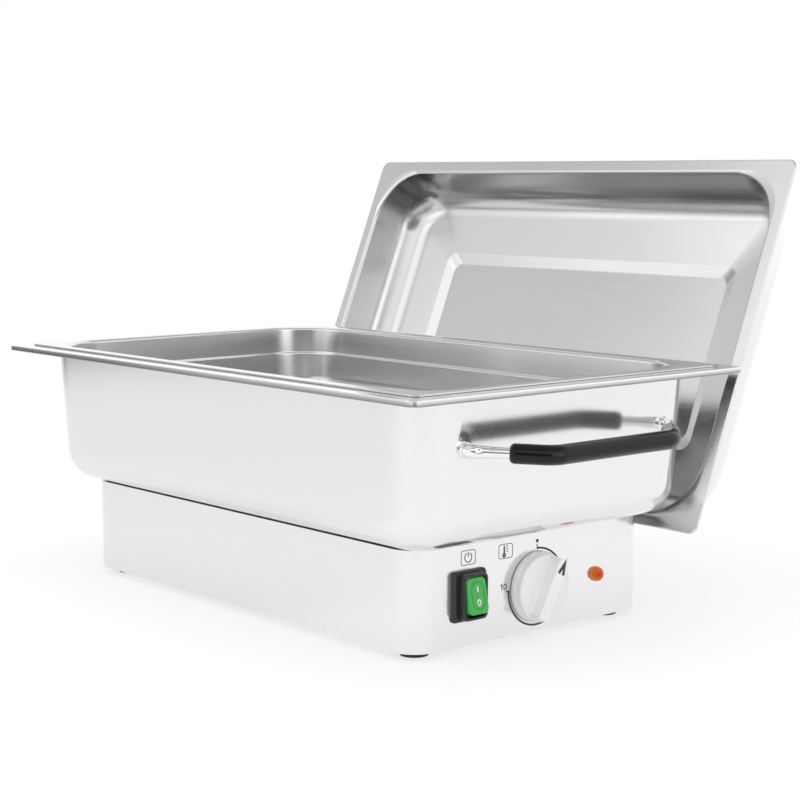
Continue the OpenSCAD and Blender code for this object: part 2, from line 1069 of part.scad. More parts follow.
module thermostat_body() {
    color(grey_case)
        on_panel(knob_y, knob_z)
            translate([0, 0, -base_sheet])
                difference() {
                    union() {
                        translate([0, 0, -thermo_plate - thermo_l / 2])
                            cube([thermo_w, thermo_h, thermo_l], center = true);
                        translate([0, 0, -thermo_plate / 2])
                            cube([thermo_plate_w, thermo_plate_h, thermo_plate], center = true);
                        cylinder(h = base_sheet + bushing_out, r = bushing_r);
                    }
                    translate([0, 0, -shaft_back])
                        cylinder(h = 2 * shaft_back, r = shaft_r + shaft_run);
                    for (sz = [-1, 1])
                        translate([0, sz * thermo_screw_z, -thermo_plate - past])
                            cylinder(h = thermo_plate + 2 * past, r = thermo_screw_r + screw_gap);
                }
}

module thermostat_shaft() {
    color(zinc)
        on_panel(knob_y, knob_z)
            translate([0, 0, -shaft_back])
                cylinder(h = shaft_back + shaft_front, r = shaft_r);
}

// Hollow knob with a grip bar across its face
module thermostat_knob() {
    top = knob_gap + knob_h;
    slope = (knob_r - knob_front_r) / knob_h;
    bar_l = 2 * knob_front_r - 1;
    skirt = [
        [shaft_r, knob_gap + 1],
        [hub_r, knob_gap + 1],
        [hub_r, top - knob_wall],
        [knob_front_r - knob_wall, top - knob_wall],
        [knob_r - knob_wall, knob_gap],
        [knob_r, knob_gap],
        [knob_front_r + slope * knob_round, top - knob_round],
        [knob_front_r - knob_round, top],
        [shaft_r, top]];
    color(white)
        on_panel(knob_y, knob_z)
            rotate([0, 0, -knob_turn]) {
                rotate_extrude()
                    polygon(skirt);
                translate([0, 0, top - tie])
                    difference() {
                        intersection() {
                            cylinder(h = bar_h + tie, r1 = bar_l / 2, r2 = bar_l / 2 - bar_round);
                            translate([0, 0, (bar_h + tie) / 2])
                                cube([bar_w, bar_l, bar_h + tie], center = true);
                        }
                        cylinder(h = shaft_front - top + tie, r = shaft_r);
                    }
            }
}

module thermostat_screws() {
    on_panel(knob_y, knob_z)
        for (sz = [-1, 1])
            translate([0, sz * thermo_screw_z, 0])
                rotate([180, 0, 0])
                    pan_screw(thermo_screw_r, thermo_screw_len, thermo_head_r, thermo_head_h);
}

// Sensing bulb under the water pan, with its thin tube to the thermostat
module thermostat_bulb() {
    case_z = knob_z + capillary_up;
    case_x = panel_back - thermo_plate - thermo_l;
    end_y = knob_y + bulb_l / 2;
    lead_y = end_y + capillary_lead;
    path = [
        [bulb_x, end_y, bulb_z],
        [bulb_x, lead_y, bulb_z],
        [bulb_x - capillary_lean, lead_y, case_z],
        [case_x - capillary_reach, knob_y, case_z],
        [case_x, knob_y, case_z]];
    color(copper) {
        translate([bulb_x, knob_y, bulb_z])
            rotate([90, 0, 0])
                cylinder(h = bulb_l, r = bulb_r, center = true);
        for (i = [0 : len(path) - 2]) {
            step = path[i + 1] - path[i];
            run = norm(step);
            translate(path[i]) {
                rotate([0, acos(step[2] / run), atan2(step[1], step[0])])
                    cylinder(h = run, r = capillary_r);
                sphere(capillary_r + tie);
            }
        }
    }
}

// Saddle that holds the bulb against the pan
module bulb_clip() {
    clip_w = 16;
    clip_l = 24;
    clip_t = 1;
    color(zinc)
        translate([bulb_x, knob_y, pan_bottom])
            difference() {
                union() {
                    translate([0, 0, -clip_t])
                        linear_extrude(clip_t)
                            square([clip_l, clip_w], center = true);
                    translate([0, 0, -bulb_r - bulb_gap])
                        rotate([90, 0, 0])
                            cylinder(h = clip_w, r = bulb_r + clip_t, center = true);
                }
                translate([0, 0, -bulb_r - bulb_gap])
                    rotate([90, 0, 0])
                        cylinder(h = clip_w + 2 * past, r = bulb_r + clip_gap, center = true);
                translate([0, 0, bulb_r])
                    cube([2 * clip_l, 2 * clip_w, 2 * bulb_r], center = true);
            }
}

// Rocker switch

// Place of the rocker's pivot, in front of the panel
module on_pivot() {
    on_panel(switch_y, switch_z)
        translate([0, 0, pivot_x])
            children();
}

module switch_bezel() {
    color(black)
        on_panel(switch_y, switch_z)
            difference() {
                union() {
                    linear_extrude(bezel_t - bezel_bevel)
                        rounded_rect(bezel_w, bezel_h, bezel_corner);
                    translate([0, 0, bezel_t - bezel_bevel])
                        linear_extrude(bezel_bevel)
                            rounded_rect(bezel_w - 2 * bezel_step, bezel_h - 2 * bezel_step, bezel_corner);
                    linear_extrude(bezel_t + collar_t)
                        rounded_rect(collar_w, collar_h, collar_corner);
                }
                translate([0, 0, well_floor])
                    linear_extrude(bezel_t + collar_t)
                        rounded_rect(well_w, well_h, well_corner);
                translate([0, 0, pivot_x])
                    rotate([0, 90, 0])
                        cylinder(h = rocker_w + 2 * (pivot_len + pivot_end), r = pivot_r + pivot_run,
                            center = true);
            }
}

// Rocker with rounded ends about its pivot, tilted with its upper half pressed in
module switch_rocker() {
    depth = rocker_front - pivot_x;
    color(green)
        on_pivot()
            rotate([-rocker_tilt, 0, 0]) {
                intersection() {
                    linear_extrude(depth)
                        rounded_rect(rocker_w, rocker_h, rocker_corner);
                    rotate([0, 90, 0])
                        cylinder(h = rocker_w + 2 * past, r = rocker_end_r, center = true);
                }
                rotate([0, 90, 0])
                    cylinder(h = rocker_w + 2 * pivot_len, r = pivot_r, center = true);
            }
}

module switch_body() {
    color(black)
        on_panel(switch_y, switch_z)
            translate([0, 0, -body_d])
                linear_extrude(body_d)
                    square([body_w, body_h], center = true);
}

module switch_terminals() {
    color(brass)
        on_panel(switch_y, switch_z)
            for (sx = [-1, 1], sz = [-1, 0, 1])
                translate([sx * body_w / 4, sz * body_h / 3, -body_d - switch_tab_l / 2])
                    cube([tab_t, switch_tab_w, switch_tab_l], center = true);
}

// Indicator lamp

module indicator_lens() {
    ball_r = (lamp_dome * lamp_dome + lamp_dome_r * lamp_dome_r) / (2 * lamp_dome);
    span = asin(lamp_dome_r / ball_r);
    outline = concat(
        [[0, 0], [lamp_r, 0], [lamp_r, lamp_flange], [lamp_dome_r, lamp_flange]],
        [for (i = [1 : bend_steps])
            let (a = span * (1 - i / bend_steps))
            [ball_r * sin(a), lamp_flange + lamp_dome - ball_r * (1 - cos(a))]]);
    color(amber)
        on_panel(lamp_y, lamp_z)
            rotate_extrude()
                polygon(outline);
}

module indicator_body() {
    color(black)
        on_panel(lamp_y, lamp_z)
            translate([0, 0, -lamp_body_d]) {
                cylinder(h = lamp_body_d, r = lamp_bore_r - screw_gap);
                for (sx = [-1, 1])
                    translate([sx * lamp_tab_y - tab_t / 2, -lamp_tab_w / 2, -lamp_tab_l])
                        cube([tab_t, lamp_tab_w, lamp_tab_l + tie]);
            }
}

module indicator_nut() {
    color(black)
        on_panel(lamp_y, lamp_z)
            translate([0, 0, -base_sheet - lamp_nut_h])
                hex_nut(lamp_nut_af, lamp_nut_h, lamp_bore_r);
}

// Mains inlet and wiring points

module cord_gland() {
    color(black)
        translate([-base_l / 2, gland_y, gland_z])
            rotate([0, -90, 0])
                difference() {
                    union() {
                        cylinder(h = gland_hex_h, d = gland_hex_af / cos(30), $fn = 6);
                        translate([0, 0, gland_hex_h])
                            cylinder(h = gland_cap_h, r1 = gland_cap_r, r2 = gland_mouth_r);
                        translate([0, 0, -gland_thread])
                            cylinder(h = gland_thread, r = gland_r);
                    }
                    translate([0, 0, -gland_thread - past])
                        cylinder(h = gland_thread + gland_hex_h + gland_cap_h + 2 * past, r = gland_bore);
                }
}

module gland_nut() {
    color(black)
        translate([base_sheet - base_l / 2, gland_y, gland_z])
            rotate([0, 90, 0])
                hex_nut(gland_hex_af, gland_nut_h, gland_r + thread_gap);
}

module terminal_block() {
    wire_z = block_h / 2;
    color(white)
        translate([block_x, block_y, floor_z])
            difference() {
                translate([-block_l / 2, -block_w / 2, 0])
                    cube([block_l, block_w, block_h]);
                for (i = [0 : block_poles - 1]) {
                    y = (i - (block_poles - 1) / 2) * block_pitch;
                    translate([0, y, wire_z])
                        rotate([0, 90, 0])
                            cylinder(h = block_l + 2 * past, r = block_wire_r, center = true);
                    for (sx = [-1, 1])
                        translate([sx * block_l / 4, y, wire_z])
                            cylinder(h = block_h, r = block_screw_r);
                }
            }
}

module terminal_screws() {
    color(brass)
        for (i = [0 : block_poles - 1], sx = [-1, 1])
            translate([block_x + sx * block_l / 4, block_y + (i - (block_poles - 1) / 2) * block_pitch,
                floor_z + block_h / 2 + block_screw_up])
                cylinder(h = block_screw_len, r = block_screw_r - thread_gap);
}

module earth_stud() {
    color(brass)
        translate([earth_x, earth_y, floor_z]) {
            cylinder(h = earth_head_h, r = earth_head_r);
            cylinder(h = earth_len, r = stud_r);
        }
}

module earth_nuts() {
    color(brass)
        translate([earth_x, earth_y, floor_z + earth_head_h])
            for (z = [0, nut_h + earth_ring_gap])
                translate([0, 0, z])
                    hex_nut(nut_af, nut_h, stud_r + thread_gap);
}

// Lid brackets

// Bent strip: a plate on the base, a sloping floor and a trough for the lid's lower edge
module lid_bracket(sx) {
    hem = 2 * lid_bead;
    reach = (lid_edge_y - base_w / 2) / cos(lid_tilt);
    color(steel)
        translate([sx * bracket_x, 0, 0])
            difference() {
                rotate([90, 0, 90])
                    linear_extrude(bracket_w, center = true) {
                        translate([base_w / 2, bracket_low])
                            square([bracket_t, lid_edge_z + reach * sin(lid_tilt) - bracket_low]);
                        intersection() {
                            translate([lid_edge_y, lid_edge_z])
                                rotate(-lid_tilt) {
                                    translate([-reach, -trough_gap - bracket_t])
                                        square([reach + hem + trough_gap + bracket_t, bracket_t]);
                                    translate([hem + trough_gap, -trough_gap - bracket_t])
                                        square([bracket_t, trough_h + trough_gap + bracket_t]);
                                    translate([-trough_gap - bracket_t, -trough_gap - bracket_t])
                                        square([bracket_t, trough_h + trough_gap + bracket_t]);
                                }
                            translate([base_w / 2, 0])
                                square([base_w, rim_top]);
                        }
                    }
                translate([-sx * bracket_x, 0, 0])
                    bracket_screw_spots()
                        cylinder(h = 4 * bracket_t, r = plate_screw_r + screw_gap, center = true);
            }
}

module right_lid_bracket() {
    lid_bracket(1);
}

module left_lid_bracket() {
    lid_bracket(-1);
}

module lid_bracket_screws() {
    bracket_screw_spots()
        translate([0, 0, bracket_t])
            rotate([180, 0, 0])
                pan_screw(plate_screw_r, plate_screw_len, screw_head_r, screw_head_h);
}

lid_shell();
lid_handle_grip();
lid_handle_rod();
lid_handle_lugs();
lid_handle_studs();
food_pan();
water_pan();
right_handle_grip();
right_handle_rod();
right_handle_lugs();
left_handle_grip();
left_handle_rod();
left_handle_lugs();
handle_rivets();
base_housing();
base_seal();
bottom_plate();
bottom_screws();
foot_front_right();
foot_front_left();
foot_back_right();
foot_back_left();
foot_screws();
pan_studs();
pan_nuts();
heat_spreader();
heating_element();
element_clamps();
heater_studs();
heater_nuts();
insulation_mat();
heat_shield();
thermal_cutout();
thermostat_body();
thermostat_shaft();
thermostat_knob();
thermostat_screws();
thermostat_bulb();
bulb_clip();
switch_bezel();
switch_rocker();
switch_body();
switch_terminals();
indicator_lens();
indicator_body();
indicator_nut();
cord_gland();
gland_nut();
terminal_block();
terminal_screws();
earth_stud();
earth_nuts();
right_lid_bracket();
left_lid_bracket();
lid_bracket_screws();
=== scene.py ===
import json
import math

import bmesh
import bpy
from mathutils import Matrix, Vector


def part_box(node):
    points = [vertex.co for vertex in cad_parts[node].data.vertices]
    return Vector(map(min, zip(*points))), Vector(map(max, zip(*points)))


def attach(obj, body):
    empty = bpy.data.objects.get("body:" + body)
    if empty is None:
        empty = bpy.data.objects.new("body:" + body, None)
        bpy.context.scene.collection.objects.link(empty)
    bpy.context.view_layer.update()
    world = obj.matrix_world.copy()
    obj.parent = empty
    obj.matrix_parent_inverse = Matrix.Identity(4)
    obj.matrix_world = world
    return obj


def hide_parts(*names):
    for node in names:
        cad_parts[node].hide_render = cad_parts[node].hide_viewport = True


# Electric chafing dish: the looks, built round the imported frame.
# Sizes are in millimetres and angles in degrees, in the frame's own axes, unless a comment says otherwise.
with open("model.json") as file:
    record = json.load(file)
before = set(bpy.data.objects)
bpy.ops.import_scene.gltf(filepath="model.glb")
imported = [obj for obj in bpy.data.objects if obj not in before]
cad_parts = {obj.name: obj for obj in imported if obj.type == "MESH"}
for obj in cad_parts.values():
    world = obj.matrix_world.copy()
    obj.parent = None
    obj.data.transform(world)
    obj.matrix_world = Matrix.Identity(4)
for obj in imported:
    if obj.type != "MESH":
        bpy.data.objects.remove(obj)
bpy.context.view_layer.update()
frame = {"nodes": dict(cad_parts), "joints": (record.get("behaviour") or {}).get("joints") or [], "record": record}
MM = 0.001


def node_box(node):
    """Lowest and highest corner of a node of the frame, in millimetres."""
    low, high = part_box(node)
    return low / MM, high / MM


# Sizes read from the frame
pan_low, pan_high = node_box("water_pan")
food_low, food_high = node_box("food_pan")
RIM_L, RIM_W = 2 * pan_high.x, 2 * pan_high.y
RIM_TOP, PAN_BOTTOM = pan_high.z, pan_low.z
FOOD_L, FOOD_W = 2 * food_high.x, 2 * food_high.y
FOOD_TOP, FOOD_BOTTOM = food_high.z, food_low.z
PANEL_X = node_box("base_housing")[1].x
LID_AXIS = next(Vector(joint["axis"]) for joint in frame["joints"] if joint["name"] == "lid_lift")

# Fineness of the meshes: faces in a quarter of a ring, and degrees of an arc to a face
CORNER_STEPS = 16
ARC_STEP = 8
SECTION_STEP = 6
ROD_STEP = 4
SAME_POINT = 1e-4  # points closer than this count as one
MITRE_LIMIT = 0.3  # least cosine at a ribbon's corner

# Pressed sheets
SHEET = 0.8
HALF = SHEET / 2
EDGE_R = 3  # bend between a wall and its flange
FLOOR_RING = 6  # flat ring inside the bend of a pan's bottom
FLANGE_CORNER = 8  # corner of a flange's outline
SQUARE_IN = 4.5  # inset over which a flange keeps that corner
LEAST_EDGE_CORNER = 2
LEAST_CORNER = 4
TUCK_R = 0.45  # bend of the lip tucked in under a turned edge
TUCK_IN = 1.2  # length of that lip

# Water pan
RIM_FLAT = 22
RIM_FALL = 4.7
RIM_ROUND = 0.6
RIM_EDGE = 2.5  # strip along the rim's outline that holds its turned-down face
PAN_CORNER = 45
PAN_DRAFT = 3.5
PAN_BEND = 28

# Food pan, whose flange is as wide as the lid's
FLANGE = 11.5
FOOD_EDGE_R = 0.4
REST_GAP = 0.15  # gap between its hem and the rim
FOOD_CORNER = 50
FOOD_BEND = 18
SHOULDER_DROP = 24
SHOULDER_H = 2
SHOULDER_IN = 1.2
SHOULDER_R = 2

# Lid, which stands open behind the dish
LID_EDGE_Y = 137
LID_EDGE_Z = 71
LID_TILT = math.atan2(LID_AXIS.y, LID_AXIS.z)
LID_CORNER = 51
LID_DRAFT = 10
LID_BEND = 28
LID_HEM_FALL = 2.6
LID_HEM_ROUND = 0.6
LID_TOP = 60.1
BAND_SLOPE = 7.4
PANEL_IN = 66
PANEL_RING = 12  # flat ring inside the bevel round the panel
BEVEL_IN = 10
BEVEL_H = 3.6
BEVEL_TOP_R = 6
BEVEL_FOOT_R = 5
LID_PANEL_CORNER = 11

# Handles
HANDLE_Z = 163
HANDLE_SPAN = 214
HANDLE_REACH = 48
HANDLE_BEND = 20
ARM_X = 6
ARM_ALONG, ARM_OUT = 26, 25  # an arm's slant, along the wall and out from it
ARM_ANGLE = math.atan2(ARM_ALONG, ARM_OUT)
ARM_WAY = Vector((math.cos(ARM_ANGLE), -math.sin(ARM_ANGLE)))
SLEEVE_START = 28
SLEEVE_COVER = 3  # how far a lug's arm runs into the sleeve
GRIP_R = 7.5
HANDLE_SHARP = 50  # edges of the handles turn sharp past this angle

# Controls on the panel; a YZ is a place across it and a height
KNOB_YZ = (2, 41)
KNOB_TURN = 28
SWITCH_YZ = (-71, 45)
ROCKER_TILT = 11
LAMP_YZ = (69, 41.5)
LAMP_SHADE_CENTRE = (-1.6, 0.4, 5.5)  # middle of the darker painted shade, across, up and out from the lamp's place
LAMP_SHADE_R = 6.2
POWER_SIGN_YZ = (-70.5, 73.7)
HEAT_SIGN_YZ = (-31.4, 73.3)
SIGN_BOX = (7.2, 5.5, 2)  # half its width and height, and its corner
SIGN_LINE = 0.55
DIAL_R = 30.3
DIAL_SWEEP = 272
INK = 0.1

# Camera that matches the photograph: its place in metres, and its lens and sensor in millimetres
CAMERA_AT = (1.22673, -1.00546, 0.36092)
CAMERA_TURN = (83.028, 0, 49.246)
CAMERA_LENS = 83.564
CAMERA_SENSOR = 36

# Studio: azimuths run from +X towards +Y, and a patch fades out over its edge, two cosines from its azimuth
FLAG_AZIMUTH = 203
FLAG_EDGE = (0.92, 0.9945)
ONLOOKER_AZIMUTH = 321
SIDE_AZIMUTH = 228
STRIP_AZIMUTH = 245
FRONT_AZIMUTH = 225
FLOOR_R = 2600
LAMP_AIM = (0, 0, 0.15)  # in metres


# Mesh building

def rounded_path(corners, step=ARC_STEP):
    """Points of a flat path through (x, y, radius) corners, each rounded by an arc of its radius."""
    points = []

    def add(point):
        if not points or (point - points[-1]).length > SAME_POINT:
            points.append(point)

    for i, (x, y, radius) in enumerate(corners):
        here = Vector((x, y))
        if radius == 0:
            add(here)
            continue
        back = (Vector(corners[i - 1][:2]) - here).normalized()
        ahead = (Vector(corners[i + 1][:2]) - here).normalized()
        turn = math.pi - back.angle(ahead)
        centre = here + (back + ahead).normalized() * radius / math.cos(turn / 2)
        arm = here + back * radius * math.tan(turn / 2) - centre
        side = 1 if back.y * ahead.x - back.x * ahead.y > 0 else -1
        steps = max(2, math.ceil(math.degrees(turn) / step))
        for k in range(steps + 1):
            add(centre + Matrix.Rotation(side * turn * k / steps, 2) @ arm)
    return points


def even_path(path, step):
    """The same path with points at even steps."""
    points = [path[0]]
    for a, b in zip(path, path[1:]):
        count = max(1, round((b - a).length / step))
        points += [a.lerp(b, (k + 1) / count) for k in range(count)]
    return points


def path_length(path):
    """Length of a path."""
    return sum((b - a).length for a, b in zip(path, path[1:]))


def line_path(*places):
    """Straight path through flat places."""
    return [Vector(place) for place in places]


def arc_path(radius, start, end, steps):
    """Path along an arc; angles run clockwise from the top."""
    angles = [math.radians(start + (end - start) * k / steps) for k in range(steps + 1)]
    return [Vector((radius * math.sin(a), radius * math.cos(a))) for a in angles]


def oval_path(half_x, half_y, steps, x=0, y=0):
    """Path round an oval about a place."""
    angles = [math.tau * k / steps for k in range(steps)]
    return [Vector((x + half_x * math.cos(a), y + half_y * math.sin(a))) for a in angles]


def box_path(half_x, half_y, corner):
    """Path round a rectangle with round corners."""
    return [Vector(point[:2]) for point in ring(half_x, half_y, corner, height=0, steps=5)]


def ring(half_x, half_y, corner, height, steps=CORNER_STEPS):
    """Points round a rectangle with round corners."""
    points = []
    for quarter, (sx, sy) in enumerate(((1, 1), (-1, 1), (-1, -1), (1, -1))):
        for k in range(steps + 1):
            angle = math.radians(90 * (quarter + k / steps))
            points.append((sx * (half_x - corner) + corner * math.cos(angle),
                           sy * (half_y - corner) + corner * math.sin(angle), height))
    return points


def circle(radius, height, sides):
    """Points round a circle about the Z axis."""
    return [(radius * math.cos(math.tau * k / sides), radius * math.sin(math.tau * k / sides), height)
            for k in range(sides)]


def loft(rings, first_cap=True, last_cap=True, closed=False):
    """Points and faces of a skin through rings with equal counts."""
    count = len(rings[0])
    points = [point for one in rings for point in one]
    faces = []
    for k in range(len(rings) if closed else len(rings) - 1):
        low = k * count
        high = (k + 1) % len(rings) * count
        for i in range(count):
            j = (i + 1) % count
            faces.append((low + i, low + j, high + j, high + i))
    if first_cap and not closed:
        faces.append(tuple(reversed(range(count))))
    if last_cap and not closed:
        faces.append(tuple(range(len(points) - count, len(points))))
    return points, faces


def lathe(corners, sides):
    """Skin of a turned piece from (radius, height, rounding) corners, along +Z."""
    return loft([circle(p.x, p.y, sides) for p in rounded_path(corners)])


def tube(path, radius_at, sides=40):
    """Skin of a tube along a flat path in XY; radius_at gives its radius at a length and an angle."""
    rings = []
    length = 0
    for i, here in enumerate(path):
        if i:
            length += (here - path[i - 1]).length
        along = (path[min(i + 1, len(path) - 1)] - path[max(i - 1, 0)]).normalized()
        one = []
        for k in range(sides):
            angle = math.tau * k / sides
            r = radius_at(length, angle)
            one.append((here.x - along.y * r * math.cos(angle), here.y + along.x * r * math.cos(angle),
                        r * math.sin(angle)))
        rings.append(one)
    return loft(rings)


def ribbon(path, width, closed=False):
    """Points and faces of a flat strip of even width along a path in XY."""
    points = []
    last = len(path) - 1
    for i, here in enumerate(path):
        back = path[i - 1] if closed or i else here
        ahead = path[(i + 1) % len(path)] if closed or i < last else here
        into = (here - back).normalized() if back != here else (ahead - here).normalized()
        out = (ahead - here).normalized() if ahead != here else into
        along = (into + out).normalized()
        reach = width / 2 / max(MITRE_LIMIT, along.dot(out))
        side = Vector((-along.y, along.x)) * reach
        points += [(*(here + side), 0), (*(here - side), 0)]
    faces = []
    for i in range(len(path) if closed else last):
        a = 2 * i
        b = 2 * ((i + 1) % len(path))
        faces.append((a, a + 1, b + 1, b))
    return points, faces


def add_object(name, data):
    """New object in the scene."""
    obj = bpy.data.objects.new(name, data)
    bpy.context.scene.collection.objects.link(obj)
    return obj


def piece(name, skin, body, finish, place=Matrix(), replaces=(), sharp=40, sheet=0, centred=True, back=None):
    """One named piece from points and faces in millimetres, moved to its place and riding on a body.

    A skin with a sheet's thickness is thickened about its middle, or to its front where it isn't centred,
    and back is the finish of the sheet's other face.
    """
    points, faces = skin
    mesh = bpy.data.meshes.new(name)
    mesh.from_pydata([place @ (Vector(point) * MM) for point in points], [], faces)
    work = bmesh.new()
    work.from_mesh(mesh)
    bmesh.ops.recalc_face_normals(work, faces=work.faces)
    work.to_mesh(mesh)
    work.free()
    mesh.shade_smooth()
    mesh.set_sharp_from_angle(angle=math.radians(sharp))
    obj = add_object(name, mesh)
    mesh.materials.append(MATERIALS[finish])
    if sheet:
        thick = obj.modifiers.new("sheet", "SOLIDIFY")
        thick.thickness = sheet * MM
        thick.offset = 0 if centred else 1
        thick.use_even_offset = True
        thick.use_quality_normals = True
        if back:
            mesh.materials.append(MATERIALS[back])
            thick.material_offset = 1
    normals = obj.modifiers.new("normals", "WEIGHTED_NORMAL")
    normals.keep_sharp = True
    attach(obj, body)
    if replaces:
        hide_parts(*replaces)
    return obj


def printed(name, skin, body, finish, place, thick=INK):
    """Thin print on a surface."""
    piece(name, skin, body, finish, place, sheet=thick, centred=False)


# Places

def shifted(x, y, z):
    """Matrix that moves by millimetres."""
    return Matrix.Translation(Vector((x, y, z)) * MM)


def turned(degrees, axis):
    """Matrix that turns about an axis."""
    return Matrix.Rotation(math.radians(degrees), 4, axis)


def on_panel(place):
    """Matrix from a drawing that looks out of the control panel to the panel; +X is across, +Y up."""
    y, z = place
    across = Matrix(((0, 0, 1), (1, 0, 0), (0, 1, 0))).to_4x4()
    return shifted(PANEL_X, y, z) @ across


# From the lid drawn lying with its hollow down to the open lid
LID_PLACE = (shifted(0, LID_EDGE_Y, LID_EDGE_Z) @ Matrix.Rotation(-LID_TILT, 4, "X")
             @ shifted(0, 0, FOOD_W / 2) @ turned(-90, "X"))


# Materials

class Nodes:
    """A node tree, with short calls to add to it."""

    def __init__(self, tree):
        self.tree = tree

    def node(self, kind, inputs=None, **settings):
        """New node with its settings, and with its inputs set or linked."""
        made = self.tree.nodes.new(kind)
        for key, value in settings.items():
            setattr(made, key, value)
        for key, value in (inputs or {}).items():
            if isinstance(value, bpy.types.NodeSocket):
                self.tree.links.new(value, made.inputs[key])
            else:
                made.inputs[key].default_value = value
        return made

    def remap(self, value, low, high, start=0.3, end=0.7):
        """Maps a value from the range between start and end to the one between low and high."""
        return self.node("ShaderNodeMapRange", {"Value": value, "From Min": start, "From Max": end,
                                                "To Min": low, "To Max": high}).outputs["Result"]

    def smooth(self, value, start, end):
        """Smooth step of a value, from 0 at the start to 1 at the end."""
        return self.node("ShaderNodeMapRange", {"Value": value, "From Min": start, "From Max": end},
                         interpolation_type="SMOOTHSTEP").outputs["Result"]

    def maths(self, operation, *values):
        """Result of an operation on values."""
        return self.node("ShaderNodeMath", dict(enumerate(values)), operation=operation).outputs[0]

    def times(self, first, second):
        """Product of two values."""
        return self.maths("MULTIPLY", first, second)

    def greater(self, first, second):
        """Greater one of two values."""
        return self.maths("MAXIMUM", first, second)

    def lessen(self, value, share, amount):
        """A value less a share of an amount."""
        return self.maths("MULTIPLY_ADD", share, -amount, value)

    def towards(self, direction, azimuth):
        """How far a direction points to an azimuth."""
        turn = math.radians(azimuth)
        return self.node("ShaderNodeVectorMath", {0: direction, 1: (math.cos(turn), math.sin(turn), 0)},
                         operation="DOT_PRODUCT").outputs["Value"]


class Finish(Nodes):
    """A material and its nodes."""

    # A colour mix's sockets for its two colours and its result
    MIX_FIRST, MIX_SECOND, MIX_RESULT = 6, 7, 2

    def __init__(self, name):
        self.material = bpy.data.materials.new(name)
        self.material.use_nodes = True
        super().__init__(self.material.node_tree)
        self.shader = self.tree.nodes["Principled BSDF"]

    def set(self, **values):
        """Sets or links the shader's sockets, named with _ for a space."""
        for key, value in values.items():
            socket = self.shader.inputs[key.replace("_", " ")]
            if isinstance(value, bpy.types.NodeSocket):
                self.tree.links.new(value, socket)
            else:
                socket.default_value = value

    def where(self):
        """Place on the piece, in metres in the frame's own axes."""
        return self.node("ShaderNodeTexCoord").outputs["Object"]

    def noise(self, scale, stretch=(1, 1, 1), detail=2, roughness=0.5):
        """Noise over the place on the piece, stretched along the axes."""
        mapped = self.node("ShaderNodeMapping", {"Vector": self.where(), "Scale": stretch}).outputs["Vector"]
        return self.node("ShaderNodeTexNoise", {"Vector": mapped, "Scale": scale, "Detail": detail,
                                                "Roughness": roughness}).outputs["Fac"]

    def clouds(self):
        """Soft clouds, drawn out along X."""
        return self.noise(scale=9, stretch=(0.6, 1, 1))

    def blend(self, factor, first, second):
        """Blends two colours."""
        mix = self.node("ShaderNodeMix", data_type="RGBA")
        self.tree.links.new(factor, mix.inputs["Factor"])
        mix.inputs[self.MIX_FIRST].default_value = (*first, 1)
        mix.inputs[self.MIX_SECOND].default_value = (*second, 1)
        return mix.outputs[self.MIX_RESULT]

    def bump(self, height, strength, distance=0.05):
        """Turns a height into a normal; the distance is in millimetres."""
        return self.node("ShaderNodeBump", {"Height": height, "Strength": strength,
                                            "Distance": distance * MM}).outputs["Normal"]


def shaded(colour, share):
    """A colour at a share of its brightness."""
    return tuple(channel * share for channel in colour)


def brushed(name, tint, rough, grain, wave, metal):
    """Metal sheet with a fine grain along X, soft clouds in its gloss and a slight waviness."""
    finish = Finish(name)
    grain_height = 0.0005
    streaks = finish.noise(scale=1, stretch=(14, 1500, 1500), detail=4, roughness=0.6)
    gloss = finish.maths("ADD", finish.remap(streaks, -grain, grain), finish.remap(finish.clouds(), *rough))
    waves = finish.noise(scale=6, stretch=(0.5, 1, 1), detail=1)
    height = finish.maths("MULTIPLY_ADD", streaks, grain_height, waves)
    finish.set(Base_Color=finish.blend(streaks, shaded(tint, 0.97), tint), Metallic=metal, Roughness=gloss,
               Normal=finish.bump(height, strength=0.12, distance=wave))
    return finish.material


def painted_shade_edge(name, tint, dull, rough, low, high):
    """Metal edge whose colour darkens towards its turned-under lip, between two heights, as painted shade."""
    finish = Finish(name)
    height = finish.node("ShaderNodeSeparateXYZ", {0: finish.where()}).outputs["Z"]
    upper = finish.remap(height, 0, 1, start=low * MM, end=high * MM)
    finish.set(Base_Color=finish.blend(upper, dull, tint), Metallic=0.9,
               Roughness=finish.remap(finish.clouds(), *rough))
    return finish.material


def moulded(name, colour, rough, grain, coat=0.0, scale=900, specular=0.5):
    """Moulded plastic or rubber with a fine skin and slight changes of shade."""
    finish = Finish(name)
    skin = finish.noise(scale)
    shade = finish.noise(scale=35)
    finish.set(Base_Color=finish.blend(shade, shaded(colour, 0.94), colour),
               Roughness=finish.remap(skin, *rough), Specular_IOR_Level=specular, Coat_Weight=coat,
               Coat_Roughness=0.08, Normal=finish.bump(skin, strength=grain))
    return finish.material


def plated(name, colour, rough, mottle=60):
    """Bright or dull metal with a mottled gloss."""
    finish = Finish(name)
    spots = finish.noise(scale=mottle, detail=4)
    finish.set(Base_Color=finish.blend(spots, shaded(colour, 0.88), colour), Metallic=1.0,
               Roughness=finish.remap(spots, *rough), Normal=finish.bump(spots, strength=0.05))
    return finish.material


def fibrous(name, colour):
    """Needled glass mat."""
    finish = Finish(name)
    fibres = finish.noise(scale=220, stretch=(1, 1, 4), detail=8, roughness=0.7)
    finish.set(Base_Color=finish.blend(fibres, shaded(colour, 0.6), colour), Roughness=0.95,
               Normal=finish.bump(fibres, strength=0.8, distance=1.0))
    return finish.material


